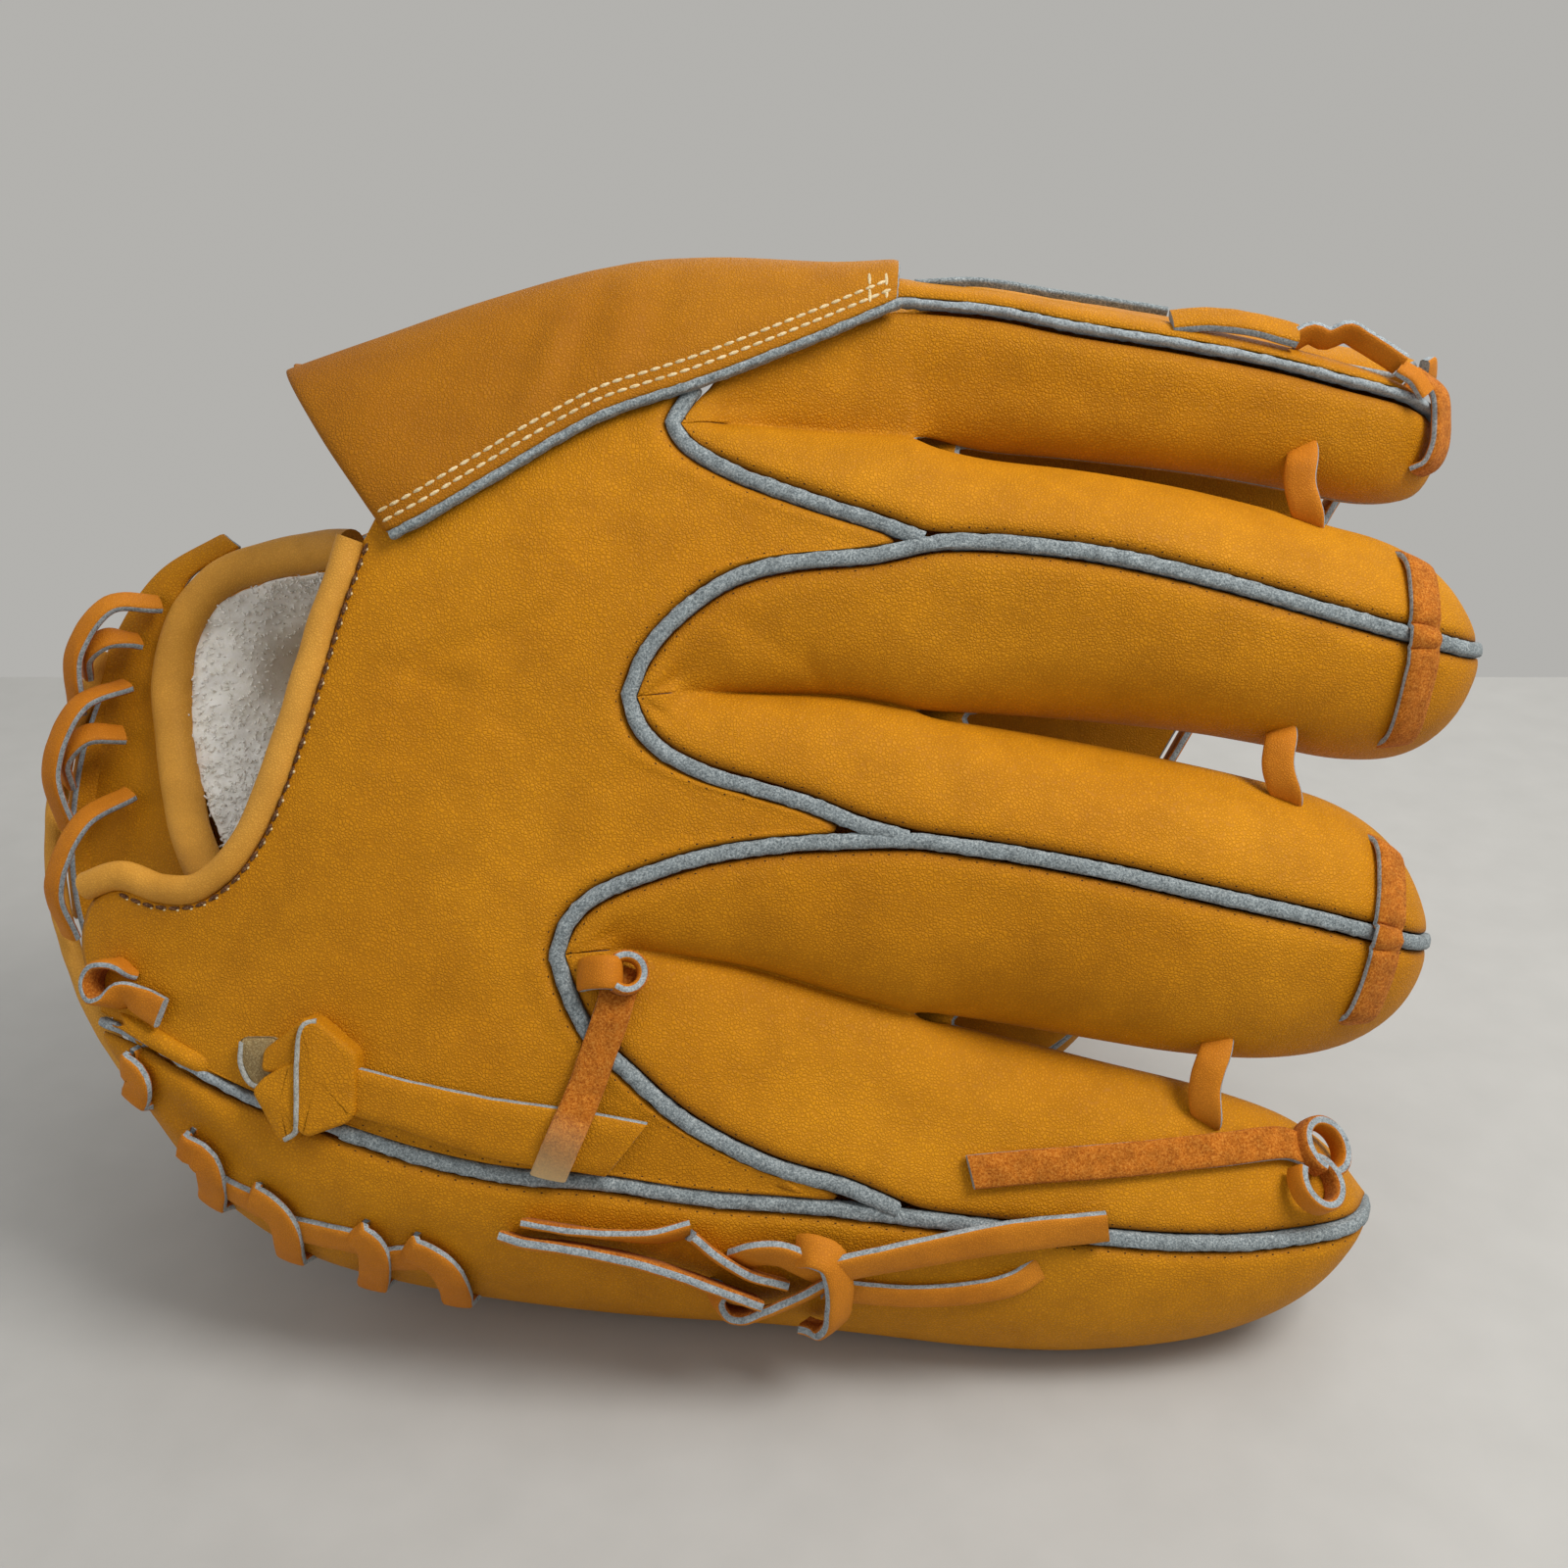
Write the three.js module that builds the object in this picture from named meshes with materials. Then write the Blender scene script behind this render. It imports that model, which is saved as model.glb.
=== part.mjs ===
// A baseball pitcher's glove for the right hand, standing on its little-finger edge.
//
// The leather is laid out in a glove frame that leans back on the table:
//   u  runs along the fingers, from the heel towards the fingertips,
//   v  runs across the hand, from the little finger up to the index finger,
//   w  runs from the back of the hand towards the palm and the thumb behind it.
// All lengths are millimetres. The table is the plane Z = 0.
import * as THREE from 'three';

// Driving dimensions
const LEAN = THREE.MathUtils.degToRad(26);
const TABLE_DROP = 15.3;
const ORIGIN = { x: -8.62, y: 97.93 };
const LEATHER = 2.0;
const WEB_LEATHER = 2.6;
const WEB_SEAM = 0.9;
const BACK_OF_FINGER = 20;
const CROTCH_DEPTH = 13;
const FRONT_BULGE = 8;
const SEAM_GAP = 2.4;
const TIP_ROUNDING = 17;
const WELT_WIDTH = 2.0;
const WELT_HEIGHT = 2.4;
const WELT_PROUD = 0.9;
const PANEL_TO_WELT = 1.7;
const LACE_WIDTH = 6.0;
const LACE_THICK = 1.8;
const WRIST_ROLL = { width: 5.6, height: 5.0 };
const HEEL_PAD = { width: 9, height: 6.5 };
const CROTCH_U = 26;
const STALL_U = 38;
const WELD = 0.005;
const TIP_SHOULDER = { back: 1.2, aside: 0.4, share: 0.62 };
const SEAT = { lift: 0.6, past: SEAM_GAP };
const THUMB_FRONT_SAG = 3;
const WEB_FULLNESS = 4;
const BINDING_PIPE = 4.4;
const HEEL_LACE_WIDTH = 5;
const MOUTH_LACE = { width: 5, height: 2.4 };

// Colours of the finishes
const TAN = new THREE.MeshStandardMaterial({ color: 0xcd8a2b, roughness: 0.5, metalness: 0 });
const LACE = new THREE.MeshStandardMaterial({ color: 0xc8742a, roughness: 0.7, metalness: 0 });
const WELT = new THREE.MeshStandardMaterial({ color: 0x8b979e, roughness: 0.95, metalness: 0 });
const WOOL = new THREE.MeshStandardMaterial({ color: 0xece6d6, roughness: 1, metalness: 0 });

// How deep the back of the glove lies at a place on it: flat over the knuckles, curling away at each edge.
const BACK = {
  level: 3,
  index: { from: 150, reach: 80, depth: 22 },
  little: { from: 70, reach: 60, depth: 14 },
  wrist: { from: -60, reach: 60, depth: 8 },
  tips: { from: 60, reach: 80, depth: 14 },
};

function curl(distance, edge) {
  const past = Math.max(0, distance) / edge.reach;
  return edge.depth * past * past;
}

function backDepth(u, v) {
  return BACK.level
    + curl(v - BACK.index.from, BACK.index)
    + curl(BACK.little.from - v, BACK.little)
    + curl(BACK.wrist.from - u, BACK.wrist)
    + curl(u - BACK.tips.from, BACK.tips);
}

// Lines across the back of the hand. Each seam starts at the root of the gap between two fingers.
const SEAM_ROOTS = {
  indexMiddle: {
    upper: [[-22, 190], [-20, 194], [-16, 199], [-2, 206], [12, 212], [24, 217]],
    lower: [[-22, 190], [-19, 185.5], [-10, 180], [0, 176], [10, 172.5], [18, 170], [27, 166.5]],
    crease: [[-20.4, 190, 0.5], [-12, 191, 6], [0, 191, 10], [14, 190.5, 12.5], [26, 190, 13]],
  },
  middleRing: {
    upper: [[-30, 136], [-28, 142], [-24, 148], [-15, 156], [-7, 160], [2, 162], [18, 163.5], [27, 165.5]],
    lower: [[-30, 136], [-28, 130], [-23, 125], [-15, 121], [-5, 118], [5, 115], [15, 111], [26, 108]],
    crease: [[-28.4, 136, 0.5], [-20, 137, 6], [-4, 137, 10], [12, 136.5, 12.5], [26, 134, 13]],
  },
  ringLittle: {
    upper: [[-44, 86], [-42, 92], [-37, 97], [-25, 102], [-15, 105], [-2, 107], [15, 108], [26, 108]],
    lower: [[-44, 86], [-42, 79], [-38, 71], [-29, 62], [-20, 54], [-10, 48], [0, 43.5], [12, 40], [25, 34]],
    crease: [[-42.4, 86, 0.5], [-33, 85, 6], [-8, 80, 10], [12, 74.5, 12.5], [26, 71, 13]],
  },
};

// Each finger from the gap to its tip, in the columns u, v. The crest is its seam, the sides are its outline.
const FINGERS = {
  index: {
    crest: [[24, 217], [43, 215], [58, 211.5], [78, 208], [99, 204.5], [114, 201], [128, 198], [138, 195]],
    upper: [[24, 224], [51, 221], [82, 214.5], [106, 210], [128, 203.5], [136, 199]],
    lower: [[26, 191], [40, 188.5], [59, 186.5], [86, 183.5], [107, 180.5], [123, 178.5], [134, 181],
      [139, 188]],
    tip: [141, 194],
  },
  middle: {
    crest: [[27, 166], [39, 166], [59, 164], [83, 159], [107, 153], [123, 149], [136, 146.5]],
    upper: [[26, 189], [40, 186.5], [61, 183.8], [81, 180.5], [95, 177.5], [112, 173.5], [124, 170.5],
      [135, 164], [141, 156]],
    lower: [[26, 133.5], [50, 132.5], [82, 129.5], [98, 127], [115, 124], [129, 125], [138, 131], [143, 139]],
    tip: [145, 147],
  },
  ring: {
    crest: [[26, 108], [41, 106], [63, 102], [85, 97], [103, 93], [114, 90], [125, 87]],
    upper: [[26, 133], [51, 129.5], [75, 125], [98, 120], [113, 115.5], [124, 108], [130, 98]],
    lower: [[26, 71.5], [40, 69], [61, 66], [81, 63], [101, 62], [116, 64.5], [126, 71], [131, 78]],
    tip: [133, 86],
  },
  little: {
    crest: [[25, 33.5], [44, 31], [62, 29.5], [77, 28], [94, 27.5], [112, 29]],
    upper: [[26, 70], [38, 67], [65, 60.5], [87, 54], [104, 47], [114, 39]],
    tip: [120, 30],
  },
};

// The little-finger edge that the glove stands on, from the heel to the fingertip.
const LITTLE_CREST_HEEL = [[-138, 71], [-128, 68], [-118, 63], [-106, 57.5], [-86, 51], [-70, 46],
  [-54, 42.5], [-36, 41], [-14, 37.5], [5, 36], [25, 33.5]];
const LITTLE_EDGE = [[-144, 62, 38], [-139, 50, 40], [-131, 38, 41], [-120, 26, 43], [-104, 17, 45],
  [-81, 11, 47], [-42, 5, 47], [0, 3, 42], [40, -0.5, 38], [63, -1, 37], [88, 2, 38], [104, 9, 39],
  [115, 19, 38]];
const LITTLE_RETURN = { v: 4, w: 5, from: 96, to: 120 };

// The wrist edge of the back panel, its rolled binding, and the top of the panel under the finger hood.
const WRIST_EDGE = [[-82, 166], [-88, 148.5], [-93, 132.5], [-98, 119], [-103, 108], [-109, 100.5],
  [-116, 96], [-125, 95.5], [-134, 98], [-141, 96], [-144, 88], [-142, 79], [-138, 73]];
const BINDING_COUNT = 10;
const PANEL_TOP = [[-80, 171], [-66, 183], [-48, 194], [-32, 202], [-22, 202], [-18.5, 200]];

// The hood over the index finger, in the columns lower edge, ridge and rear edge, a row for each section.
const HOOD = [
  { lower: [-80, 168, 1.2], ridge: [-103, 206, 31], rear: [-101, 198, 46] },
  { lower: [-72, 172.5, 0.6], ridge: [-84, 212, 29], rear: [-84, 203, 45] },
  { lower: [-58, 180.5, 2.2], ridge: [-61, 219.5, 27.5], rear: [-62, 212, 43] },
  { lower: [-36, 193, 5.4], ridge: [-33, 227, 27.5], rear: [-34, 220, 41] },
  { lower: [-16, 199, 8.2], ridge: [-14, 228.5, 28], rear: [-14, 223, 39] },
  { lower: [8, 209.5, 11.7], ridge: [10, 227.5, 28], rear: [10, 225, 36] },
  { lower: [21, 216, 14.4], ridge: [23, 227, 26], rear: [23, 227, 33] },
];

// Section of the palm leather at the gap between the fingers and the web, from the index finger to the thumb.
const POCKET_ARCH = [[224, 40], [230.5, 54], [219, 78], [182, 97], [146, 103], [114, 103]];
const HEEL_EDGE = [[-110, 25, 51], [-130, 43, 48], [-147, 66, 46], [-158, 97, 47], [-156, 128, 48],
  [-148, 147, 50], [-136, 157, 57], [-127, 160, 69], [-124, 150, 83], [-124, 120, 93], [-120, 80, 98],
  [-105, 42, 99]];
const HEEL_SHARE = 0.56;
const PALM_FULLNESS = 15;

// The thumb, in the columns u, top seam, belly and edge on the table, a row for each section.
const THUMB = [
  { u: -125, top: [165, 70], belly: [107, 105], bottom: [43, 103.5] },
  { u: -106, top: [174, 66], belly: [108, 114], bottom: [37, 104] },
  { u: -70, top: [188, 66], belly: [112, 124], bottom: [34, 105] },
  { u: -30, top: [203, 72], belly: [115, 128], bottom: [33, 105] },
  { u: 2, top: [202, 96], belly: [108, 130], bottom: [33, 105] },
  { u: 22, top: [160, 110], belly: [92, 130], bottom: [33, 105] },
  { u: 40, top: [117, 111], belly: [80, 129], bottom: [34, 105] },
  { u: 60, top: [114, 112], belly: [79, 127], bottom: [40, 106] },
  { u: 76, top: [105, 112.5], belly: [79, 123], bottom: [52, 108] },
  { u: 86, top: [95, 112.5], belly: [80, 118], bottom: [65, 110] },
];
const THUMB_TIP = [92, 81, 113];
const THUMB_FRONT = [
  { u: 38, high: [114, 103], low: [42, 98] },
  { u: 58, high: [112, 104], low: [46, 99] },
  { u: 74, high: [104, 105], low: [55, 101] },
  { u: 84, high: [94, 105], low: [67, 103] },
  { u: 89, high: [82, 105], low: [79.5, 105] },
];
const WEB_MOUTH = [[131, 205.5, 39], [142, 211.5, 50], [138, 203, 72], [123, 170, 93], [103, 136, 103],
  [83, 100, 105.5]];
const WEB_LOW = [[38.9, 117, 104], [60, 116, 104.5], [75, 108, 105.5], [83, 100, 105.5]];

// The wrist opening: the padded roll of the heel, the narrow leather beside it and the fleece inside.
const HEEL_ROLL = [[-90, 168, 26], [-100, 168.5, 34], [-112, 167.5, 40], [-124, 163, 43], [-131.5, 154, 44],
  [-134, 142, 44], [-133, 129, 42], [-129, 117, 37], [-123, 106, 28]];
const HEEL_LINING = {
  inner: [[-120, 171, 45], [-133, 163, 46], [-138.5, 152, 46], [-139, 138, 45.5], [-137.5, 125, 43],
    [-134, 113, 38]],
  outer: [[-124, 175, 47], [-139, 166, 47], [-146, 152, 46], [-147.5, 136, 45], [-146.5, 121, 43],
    [-142, 108, 38]],
};
const FLEECE = {
  front: [[-94, 163, 33], [-109, 162, 42], [-121, 157, 46], [-127, 148, 47], [-127, 135, 46], [-123, 122, 42],
    [-116, 110, 34]],
  rear: [[-62, 162, 44], [-64, 155, 46], [-68, 147, 47], [-72, 138, 47], [-76, 129, 46], [-82, 120, 44],
    [-90, 110, 40]],
  thickness: 3.5,
};

// Lacing that lies on the leather: a route in the columns u, v, and its lift off what is under it.
const LAID_LACES = {
  wrist_strap: {
    width: 11,
    route: [[-84, 57.5, 0.4], [-72, 54.5, 0.4], [-56, 51, 0.4], [-42, 49, 0.4], [-28, 47.5, 0.6]],
  },
  corner_tie: {
    width: 5,
    route: [[-139, 79, 0.5], [-136.5, 83, 0.6], [-132.5, 82.5, 0.6], [-129, 78.5, 0.5], [-120, 75.5, 0.4]],
  },
  index_tip_lace: { width: 6.5, route: [[130.5, 199.5, 0.5], [130.5, 192, 0.5], [130, 183.5, 0.5]] },
  middle_tip_lace: {
    width: 6.5,
    route: [[128, 163, 0.6], [127, 154, 0.6], [126.5, 145, 0.8], [125.5, 136, 0.6], [125, 127.5, 0.6]],
  },
  ring_tip_lace: {
    width: 6.5,
    route: [[121, 105, 0.6], [120, 98, 0.6], [118.5, 90, 0.8], [116.5, 80, 0.6], [114, 70.5, 0.6]],
  },
  little_tip_tie: {
    width: 6,
    route: [[37, 41, 0.5], [52, 42.5, 0.5], [70, 44, 0.5], [88, 45.5, 0.6], [99, 46, 0.8],
      [106, 43.5, 1], [108, 38, 1], [104.5, 34, 1]],
  },
  crotch_tie: {
    width: 6.5,
    route: [[-30.5, 90, 0.6], [-31.5, 80, 0.6], [-33, 73, 0.8], [-36, 65, 1.1], [-39, 58, 1.1],
      [-42.5, 51, 1], [-46, 43.5, 1.2]],
  },
  little_edge_tie: {
    width: 6,
    route: [[-55, 31.5, 0.5], [-42, 30.5, 0.5], [-30, 28.5, 0.5], [-18, 25.5, 0.5], [-6, 21.5, 0.5],
      [8, 18.5, 0.5], [24, 17, 0.5], [38, 18, 0.5], [49, 22.5, 0.5]],
  },
  little_edge_tail: {
    width: 6,
    route: [[62, 30.5, 0.9], [48, 29.2, 0.7], [34, 27.2, 0.6], [22, 25.6, 0.6], [14, 25, 0.6]],
  },
  heel_whip_lace: {
    width: 5,
    route: [[-127, 44, 0.3], [-122, 34, 0.3], [-113, 36, 0.3], [-107.5, 25, 0.3], [-98, 29, 0.3],
      [-91.5, 18.5, 0.3], [-82, 22, 0.3], [-74, 14.5, 0.3], [-66, 16, 0.3]],
  },
};
const STRAP_KNOT = {
  outline: [[-93, 72], [-83.4, 65.5], [-84.4, 52.5], [-98, 47.5], [-105, 57.5], [-103, 64]],
  middle: [-94, 60],
  lift: 0.5,
  thickness: 4.2,
  crown: 1.2,
};
const EDGE_KNOT = {
  outline: [[-14, 25], [-8, 30.5], [4, 31], [10, 27.5], [11, 19], [5, 12], [-7, 12], [-13, 17]],
  middle: [-1, 21.5],
  lift: 0.5,
  thickness: 3,
  crown: 1,
};
// Lacing with a course of its own, in the columns u, v, w.
const HEEL_HOLES = [
  { lining: [-140, 159, 43.6], palm: [-150, 150, 42] },
  { lining: [-145, 147, 43.2], palm: [-155, 138, 41] },
  { lining: [-146.5, 136, 42.6], palm: [-158, 124, 40] },
  { lining: [-145, 124, 40.4], palm: [-159, 110, 39.5] },
  { lining: [-142, 113, 36.8], palm: [-158, 97, 39] },
];
const BRIDGES = [
  { name: 'index_middle_bridge', u: 108, from: 187, to: 168, lift: 0.8 },
  { name: 'middle_ring_bridge', u: 101, from: 131.5, to: 113.5, lift: 0.8 },
  { name: 'ring_little_bridge', u: 88, from: 68, to: 48.5, lift: 0.8 },
];
const WEB_LACE_OUT = 2.6;
const HEEL_BINDING_OUT = 2.9;

const towardsPalm = new THREE.Vector3(0, 0, 1);
const towardsBack = new THREE.Vector3(0, 0, -1);

// Turns a place in the glove frame into the upright frame of the table, and flattens what would sink into it.
function stand(place) {
  const y = place.z * Math.cos(LEAN) + place.y * Math.sin(LEAN) - ORIGIN.y;
  const z = place.y * Math.cos(LEAN) - place.z * Math.sin(LEAN) + TABLE_DROP;
  return new THREE.Vector3(place.x - ORIGIN.x, y, Math.max(0, z));
}

function turned(direction) {
  const y = direction.z * Math.cos(LEAN) + direction.y * Math.sin(LEAN);
  const z = direction.y * Math.cos(LEAN) - direction.z * Math.sin(LEAN);
  return new THREE.Vector3(direction.x, y, z);
}

function line(rows) {
  return new THREE.CatmullRomCurve3(rows.map((row) => new THREE.Vector3(...row)), false, 'centripetal');
}

// A line on the back of the glove, whose depth follows the back.
function backLine(rows, extra = 0) {
  return line(rows.map(([u, v, deeper = 0]) => [u, v, backDepth(u, v) + extra + deeper]));
}

function sample(curve, count) {
  return curve.getSpacedPoints(count);
}

function solid(points, triangles) {
  const geometry = new THREE.BufferGeometry();
  const numbers = points.flatMap((p) => [p.x, p.y, p.z]);
  geometry.setAttribute('position', new THREE.Float32BufferAttribute(numbers, 3));
  geometry.setIndex(triangles.flat());
  return geometry;
}

// Gives a sheet of leather its thickness. A patch is a grid of places in the glove frame, and patches that
// share an edge become one sheet.
function leather(patches, thickness, towards) {
  const points = [];
  const seen = new Map();
  const faces = [];
  const index = (place) => {
    const p = stand(place);
    const key = [p.x, p.y, p.z].map((value) => Math.round(value / WELD)).join();
    if (!seen.has(key)) {
      seen.set(key, points.length);
      points.push(p);
    }
    return seen.get(key);
  };
  const add = (a, b, c) => {
    if (a !== b && b !== c && c !== a) faces.push([a, b, c]);
  };
  for (const patch of patches) {
    const grid = patch.map((row) => row.map(index));
    for (let i = 0; i + 1 < grid.length; i += 1) {
      for (let j = 0; j + 1 < grid[i].length; j += 1) {
        add(grid[i][j], grid[i + 1][j], grid[i + 1][j + 1]);
        add(grid[i][j], grid[i + 1][j + 1], grid[i][j + 1]);
      }
    }
  }
  const faceNormal = ([a, b, c]) => new THREE.Vector3()
    .crossVectors(points[b].clone().sub(points[a]), points[c].clone().sub(points[a]));
  const goal = turned(towards);
  const firstCount = 2 * (patches[0].length - 1) * (patches[0][0].length - 1);
  const mean = new THREE.Vector3();
  faces.slice(0, firstCount).forEach((face) => mean.add(faceNormal(face)));
  if (mean.dot(goal) > 0) faces.forEach((face) => face.reverse());

  const normals = points.map(() => new THREE.Vector3());
  faces.forEach((face) => {
    const normal = faceNormal(face);
    face.forEach((corner) => normals[corner].add(normal));
  });
  const count = points.length;
  const inner = points.map((p, i) => p.clone().addScaledVector(normals[i].normalize(), -thickness));
  inner.forEach((p) => { p.z = Math.max(p.z, 0); });
  const edges = new Map();
  faces.forEach(([a, b, c]) => [[a, b], [b, c], [c, a]].forEach(([from, to]) => {
    const back = `${to},${from}`;
    if (edges.has(back)) edges.delete(back);
    else edges.set(`${from},${to}`, [from, to]);
  }));
  const triangles = [...faces, ...faces.map(([a, b, c]) => [c + count, b + count, a + count])];
  edges.forEach(([from, to]) => {
    triangles.push([to, from, from + count], [to, from + count, to + count]);
  });
  return solid([...points, ...inner], triangles);
}

// Sweeps a flat or round section along places in the glove frame.
function strip(places, width, height, sides, up = towardsBack) {
  return band(places.map(stand), width, height, places.map(() => turned(up)), sides);
}

// Sweeps a section along a path on the table, with its second axis towards the given directions.
function band(path, width, height, rises, sides = 4) {
  const count = path.length;
  const points = [];
  path.forEach((p, i) => {
    const before = path[Math.max(0, i - 1)];
    const after = path[Math.min(count - 1, i + 1)];
    const along = after.clone().sub(before).normalize();
    const across = new THREE.Vector3().crossVectors(along, rises[i]).normalize();
    const out = new THREE.Vector3().crossVectors(across, along).normalize();
    for (let k = 0; k < sides; k += 1) {
      const angle = (2 * Math.PI * (k + 0.5)) / sides;
      const square = sides === 4 ? Math.SQRT2 : 1;
      const q = p.clone()
        .addScaledVector(across, 0.5 * width * square * Math.cos(angle))
        .addScaledVector(out, 0.5 * height * square * Math.sin(angle));
      q.z = Math.max(q.z, 0);
      points.push(q);
    }
  });
  const triangles = [];
  for (let i = 0; i + 1 < count; i += 1) {
    const j = i + 1;
    for (let k = 0; k < sides; k += 1) {
      const n = (k + 1) % sides;
      const [a, b, c, d] = [i * sides + k, j * sides + k, j * sides + n, i * sides + n];
      triangles.push([a, b, c], [a, c, d]);
    }
  }
  const last = (count - 1) * sides;
  for (let k = 1; k + 1 < sides; k += 1) {
    triangles.push([0, k, k + 1], [last, last + k + 1, last + k]);
  }
  return outward(solid(points, triangles));
}

// Turns every face of a closed shape round if they point inwards.
function outward(geometry) {
  const position = geometry.getAttribute('position');
  const corners = geometry.getIndex().array;
  const [a, b, c] = [new THREE.Vector3(), new THREE.Vector3(), new THREE.Vector3()];
  let volume = 0;
  for (let i = 0; i < corners.length; i += 3) {
    a.fromBufferAttribute(position, corners[i]);
    b.fromBufferAttribute(position, corners[i + 1]);
    c.fromBufferAttribute(position, corners[i + 2]);
    volume += a.dot(b.cross(c));
  }
  if (volume < 0) {
    for (let i = 0; i < corners.length; i += 3) [corners[i], corners[i + 2]] = [corners[i + 2], corners[i]];
  }
  return geometry;
}

// Moves a line on the back sideways, to the left of its direction for a positive distance.
function beside(places, distance) {
  return places.map((p, i) => {
    const before = places[Math.max(0, i - 1)];
    const after = places[Math.min(places.length - 1, i + 1)];
    const along = new THREE.Vector2(after.x - before.x, after.y - before.y).normalize();
    return new THREE.Vector3(p.x - along.y * distance, p.y + along.x * distance, p.z);
  });
}

// The crest of a finger sinks round its tip to the depth of its sides.
function crestLine(finger) {
  const [tipU, tipV] = finger.tip;
  const rows = [...finger.crest, finger.tip];
  const flat = rows.map(([u, v]) => {
    const near = THREE.MathUtils.clamp((u - (tipU - TIP_ROUNDING)) / TIP_ROUNDING, 0, 1);
    return [u, v, backDepth(u, v) + BACK_OF_FINGER * (1 - Math.sqrt(1 - near * near))];
  });
  const shoulder = [tipU - TIP_SHOULDER.back, tipV + TIP_SHOULDER.aside,
    backDepth(tipU, tipV) + BACK_OF_FINGER * TIP_SHOULDER.share];
  flat.splice(flat.length - 1, 0, shoulder);
  return line(flat);
}

function sideLine(finger, rows, aside) {
  const start = rows[0];
  const deep = rows.map(([u, v]) => {
    const opened = THREE.MathUtils.clamp((u - start[0]) / (STALL_U - CROTCH_U), 0, 1);
    return [u, v, backDepth(u, v) + THREE.MathUtils.lerp(CROTCH_DEPTH, BACK_OF_FINGER, opened)];
  });
  return line([...deep, [finger.tip[0], finger.tip[1] + aside, backDepth(...finger.tip) + BACK_OF_FINGER]]);
}

const ROOT_STEPS = 10;
const FINGER_STEPS = 11;
const ROUND_STEPS = 4;

function joined(first, second) {
  return [...first, ...second.slice(1)];
}

// Part of an oval from a crest place to a side place, flat at the crest and steep at the side.
function rounded(crest, side, steps) {
  return Array.from({ length: steps + 1 }, (_, k) => {
    const angle = (k / steps) * Math.PI * 0.5;
    return new THREE.Vector3(
      THREE.MathUtils.lerp(crest.x, side.x, Math.sin(angle)),
      THREE.MathUtils.lerp(crest.y, side.y, Math.sin(angle)),
      THREE.MathUtils.lerp(crest.z, side.z, 1 - Math.cos(angle)),
    );
  });
}

const seams = Object.fromEntries(Object.entries(SEAM_ROOTS).map(([name, root]) => [name, {
  upper: sample(backLine(root.upper), ROOT_STEPS),
  lower: sample(backLine(root.lower), ROOT_STEPS),
  crease: sample(backLine(root.crease), ROOT_STEPS),
}]));
const crests = Object.fromEntries(Object.entries(FINGERS).map(([name, finger]) => [name,
  sample(crestLine(finger), FINGER_STEPS)]));
const sides = Object.fromEntries(Object.entries(FINGERS).map(([name, finger]) => [name, {
  upper: sample(sideLine(finger, finger.upper, PANEL_TO_WELT), FINGER_STEPS),
  lower: finger.lower ? sample(sideLine(finger, finger.lower, -PANEL_TO_WELT), FINGER_STEPS) : [],
}]));

// The leather between two fingers: from the crest of one, down the gap and up to the crest of the other.
function gusset(seam, above, below) {
  const crestAbove = beside(joined(seam.upper, crests[above]), -PANEL_TO_WELT);
  const crestBelow = beside(joined(seam.lower, crests[below]), PANEL_TO_WELT);
  const sideAbove = joined(seam.crease, sides[above].lower);
  const sideBelow = joined(seam.crease, sides[below].upper);
  const upper = crestAbove.map((crest, i) => rounded(crest, sideAbove[i], ROUND_STEPS));
  const lower = crestBelow.map((crest, i) => rounded(crest, sideBelow[i], ROUND_STEPS).reverse());
  return leather([upper, lower], LEATHER, towardsPalm);
}

const heelCrest = sample(backLine(LITTLE_CREST_HEEL), 12);

// The back panel fans out from the wrist edge to the seams at the finger roots. Each stretch of the far edge
// names the share of the wrist edge that it fans from.
function backPanel() {
  const tongue = { middle: 21, ring: 12, little: 12 };
  const past = (u) => (p) => p.x <= u;
  const above = (places) => beside(places, PANEL_TO_WELT);
  const below = (places) => beside(places, -PANEL_TO_WELT);
  const stretches = [
    { to: 0.02, places: sample(backLine(PANEL_TOP), 5) },
    { to: 0.04, places: above(seams.indexMiddle.upper).filter(past(-19.5)).reverse() },
    { to: 0.1, places: below(seams.indexMiddle.lower).filter(past(tongue.middle)).slice(1) },
    { to: 0.27, late: 2, places: above(seams.middleRing.upper).filter(past(tongue.middle)).reverse() },
    { to: 0.37, places: below(seams.middleRing.lower).filter(past(tongue.ring)).slice(1) },
    { to: 0.5, late: 1.4, places: above(seams.ringLittle.upper).filter(past(tongue.ring)).reverse() },
    { to: 0.86, places: below(seams.ringLittle.lower).filter(past(tongue.little)).slice(1) },
    { to: 1, places: above(heelCrest).filter(past(tongue.little)).reverse() },
  ];
  const wrist = backLine(WRIST_EDGE);
  const steps = 7;
  const grid = [];
  let from = 0;
  stretches.forEach(({ to, places, late = 1 }) => {
    places.forEach((far, i) => {
      const share = from === 0 ? i / (places.length - 1) : (i + 1) / places.length;
      const near = wrist.getPointAt(THREE.MathUtils.lerp(from, to, share ** late));
      grid.push(Array.from({ length: steps + 1 }, (_, k) => {
        const u = THREE.MathUtils.lerp(near.x, far.x, k / steps);
        const v = THREE.MathUtils.lerp(near.y, far.y, k / steps);
        return new THREE.Vector3(u, v, backDepth(u, v));
      }));
    });
    from = to;
  });
  return leather([grid], LEATHER, towardsPalm);
}

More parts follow.
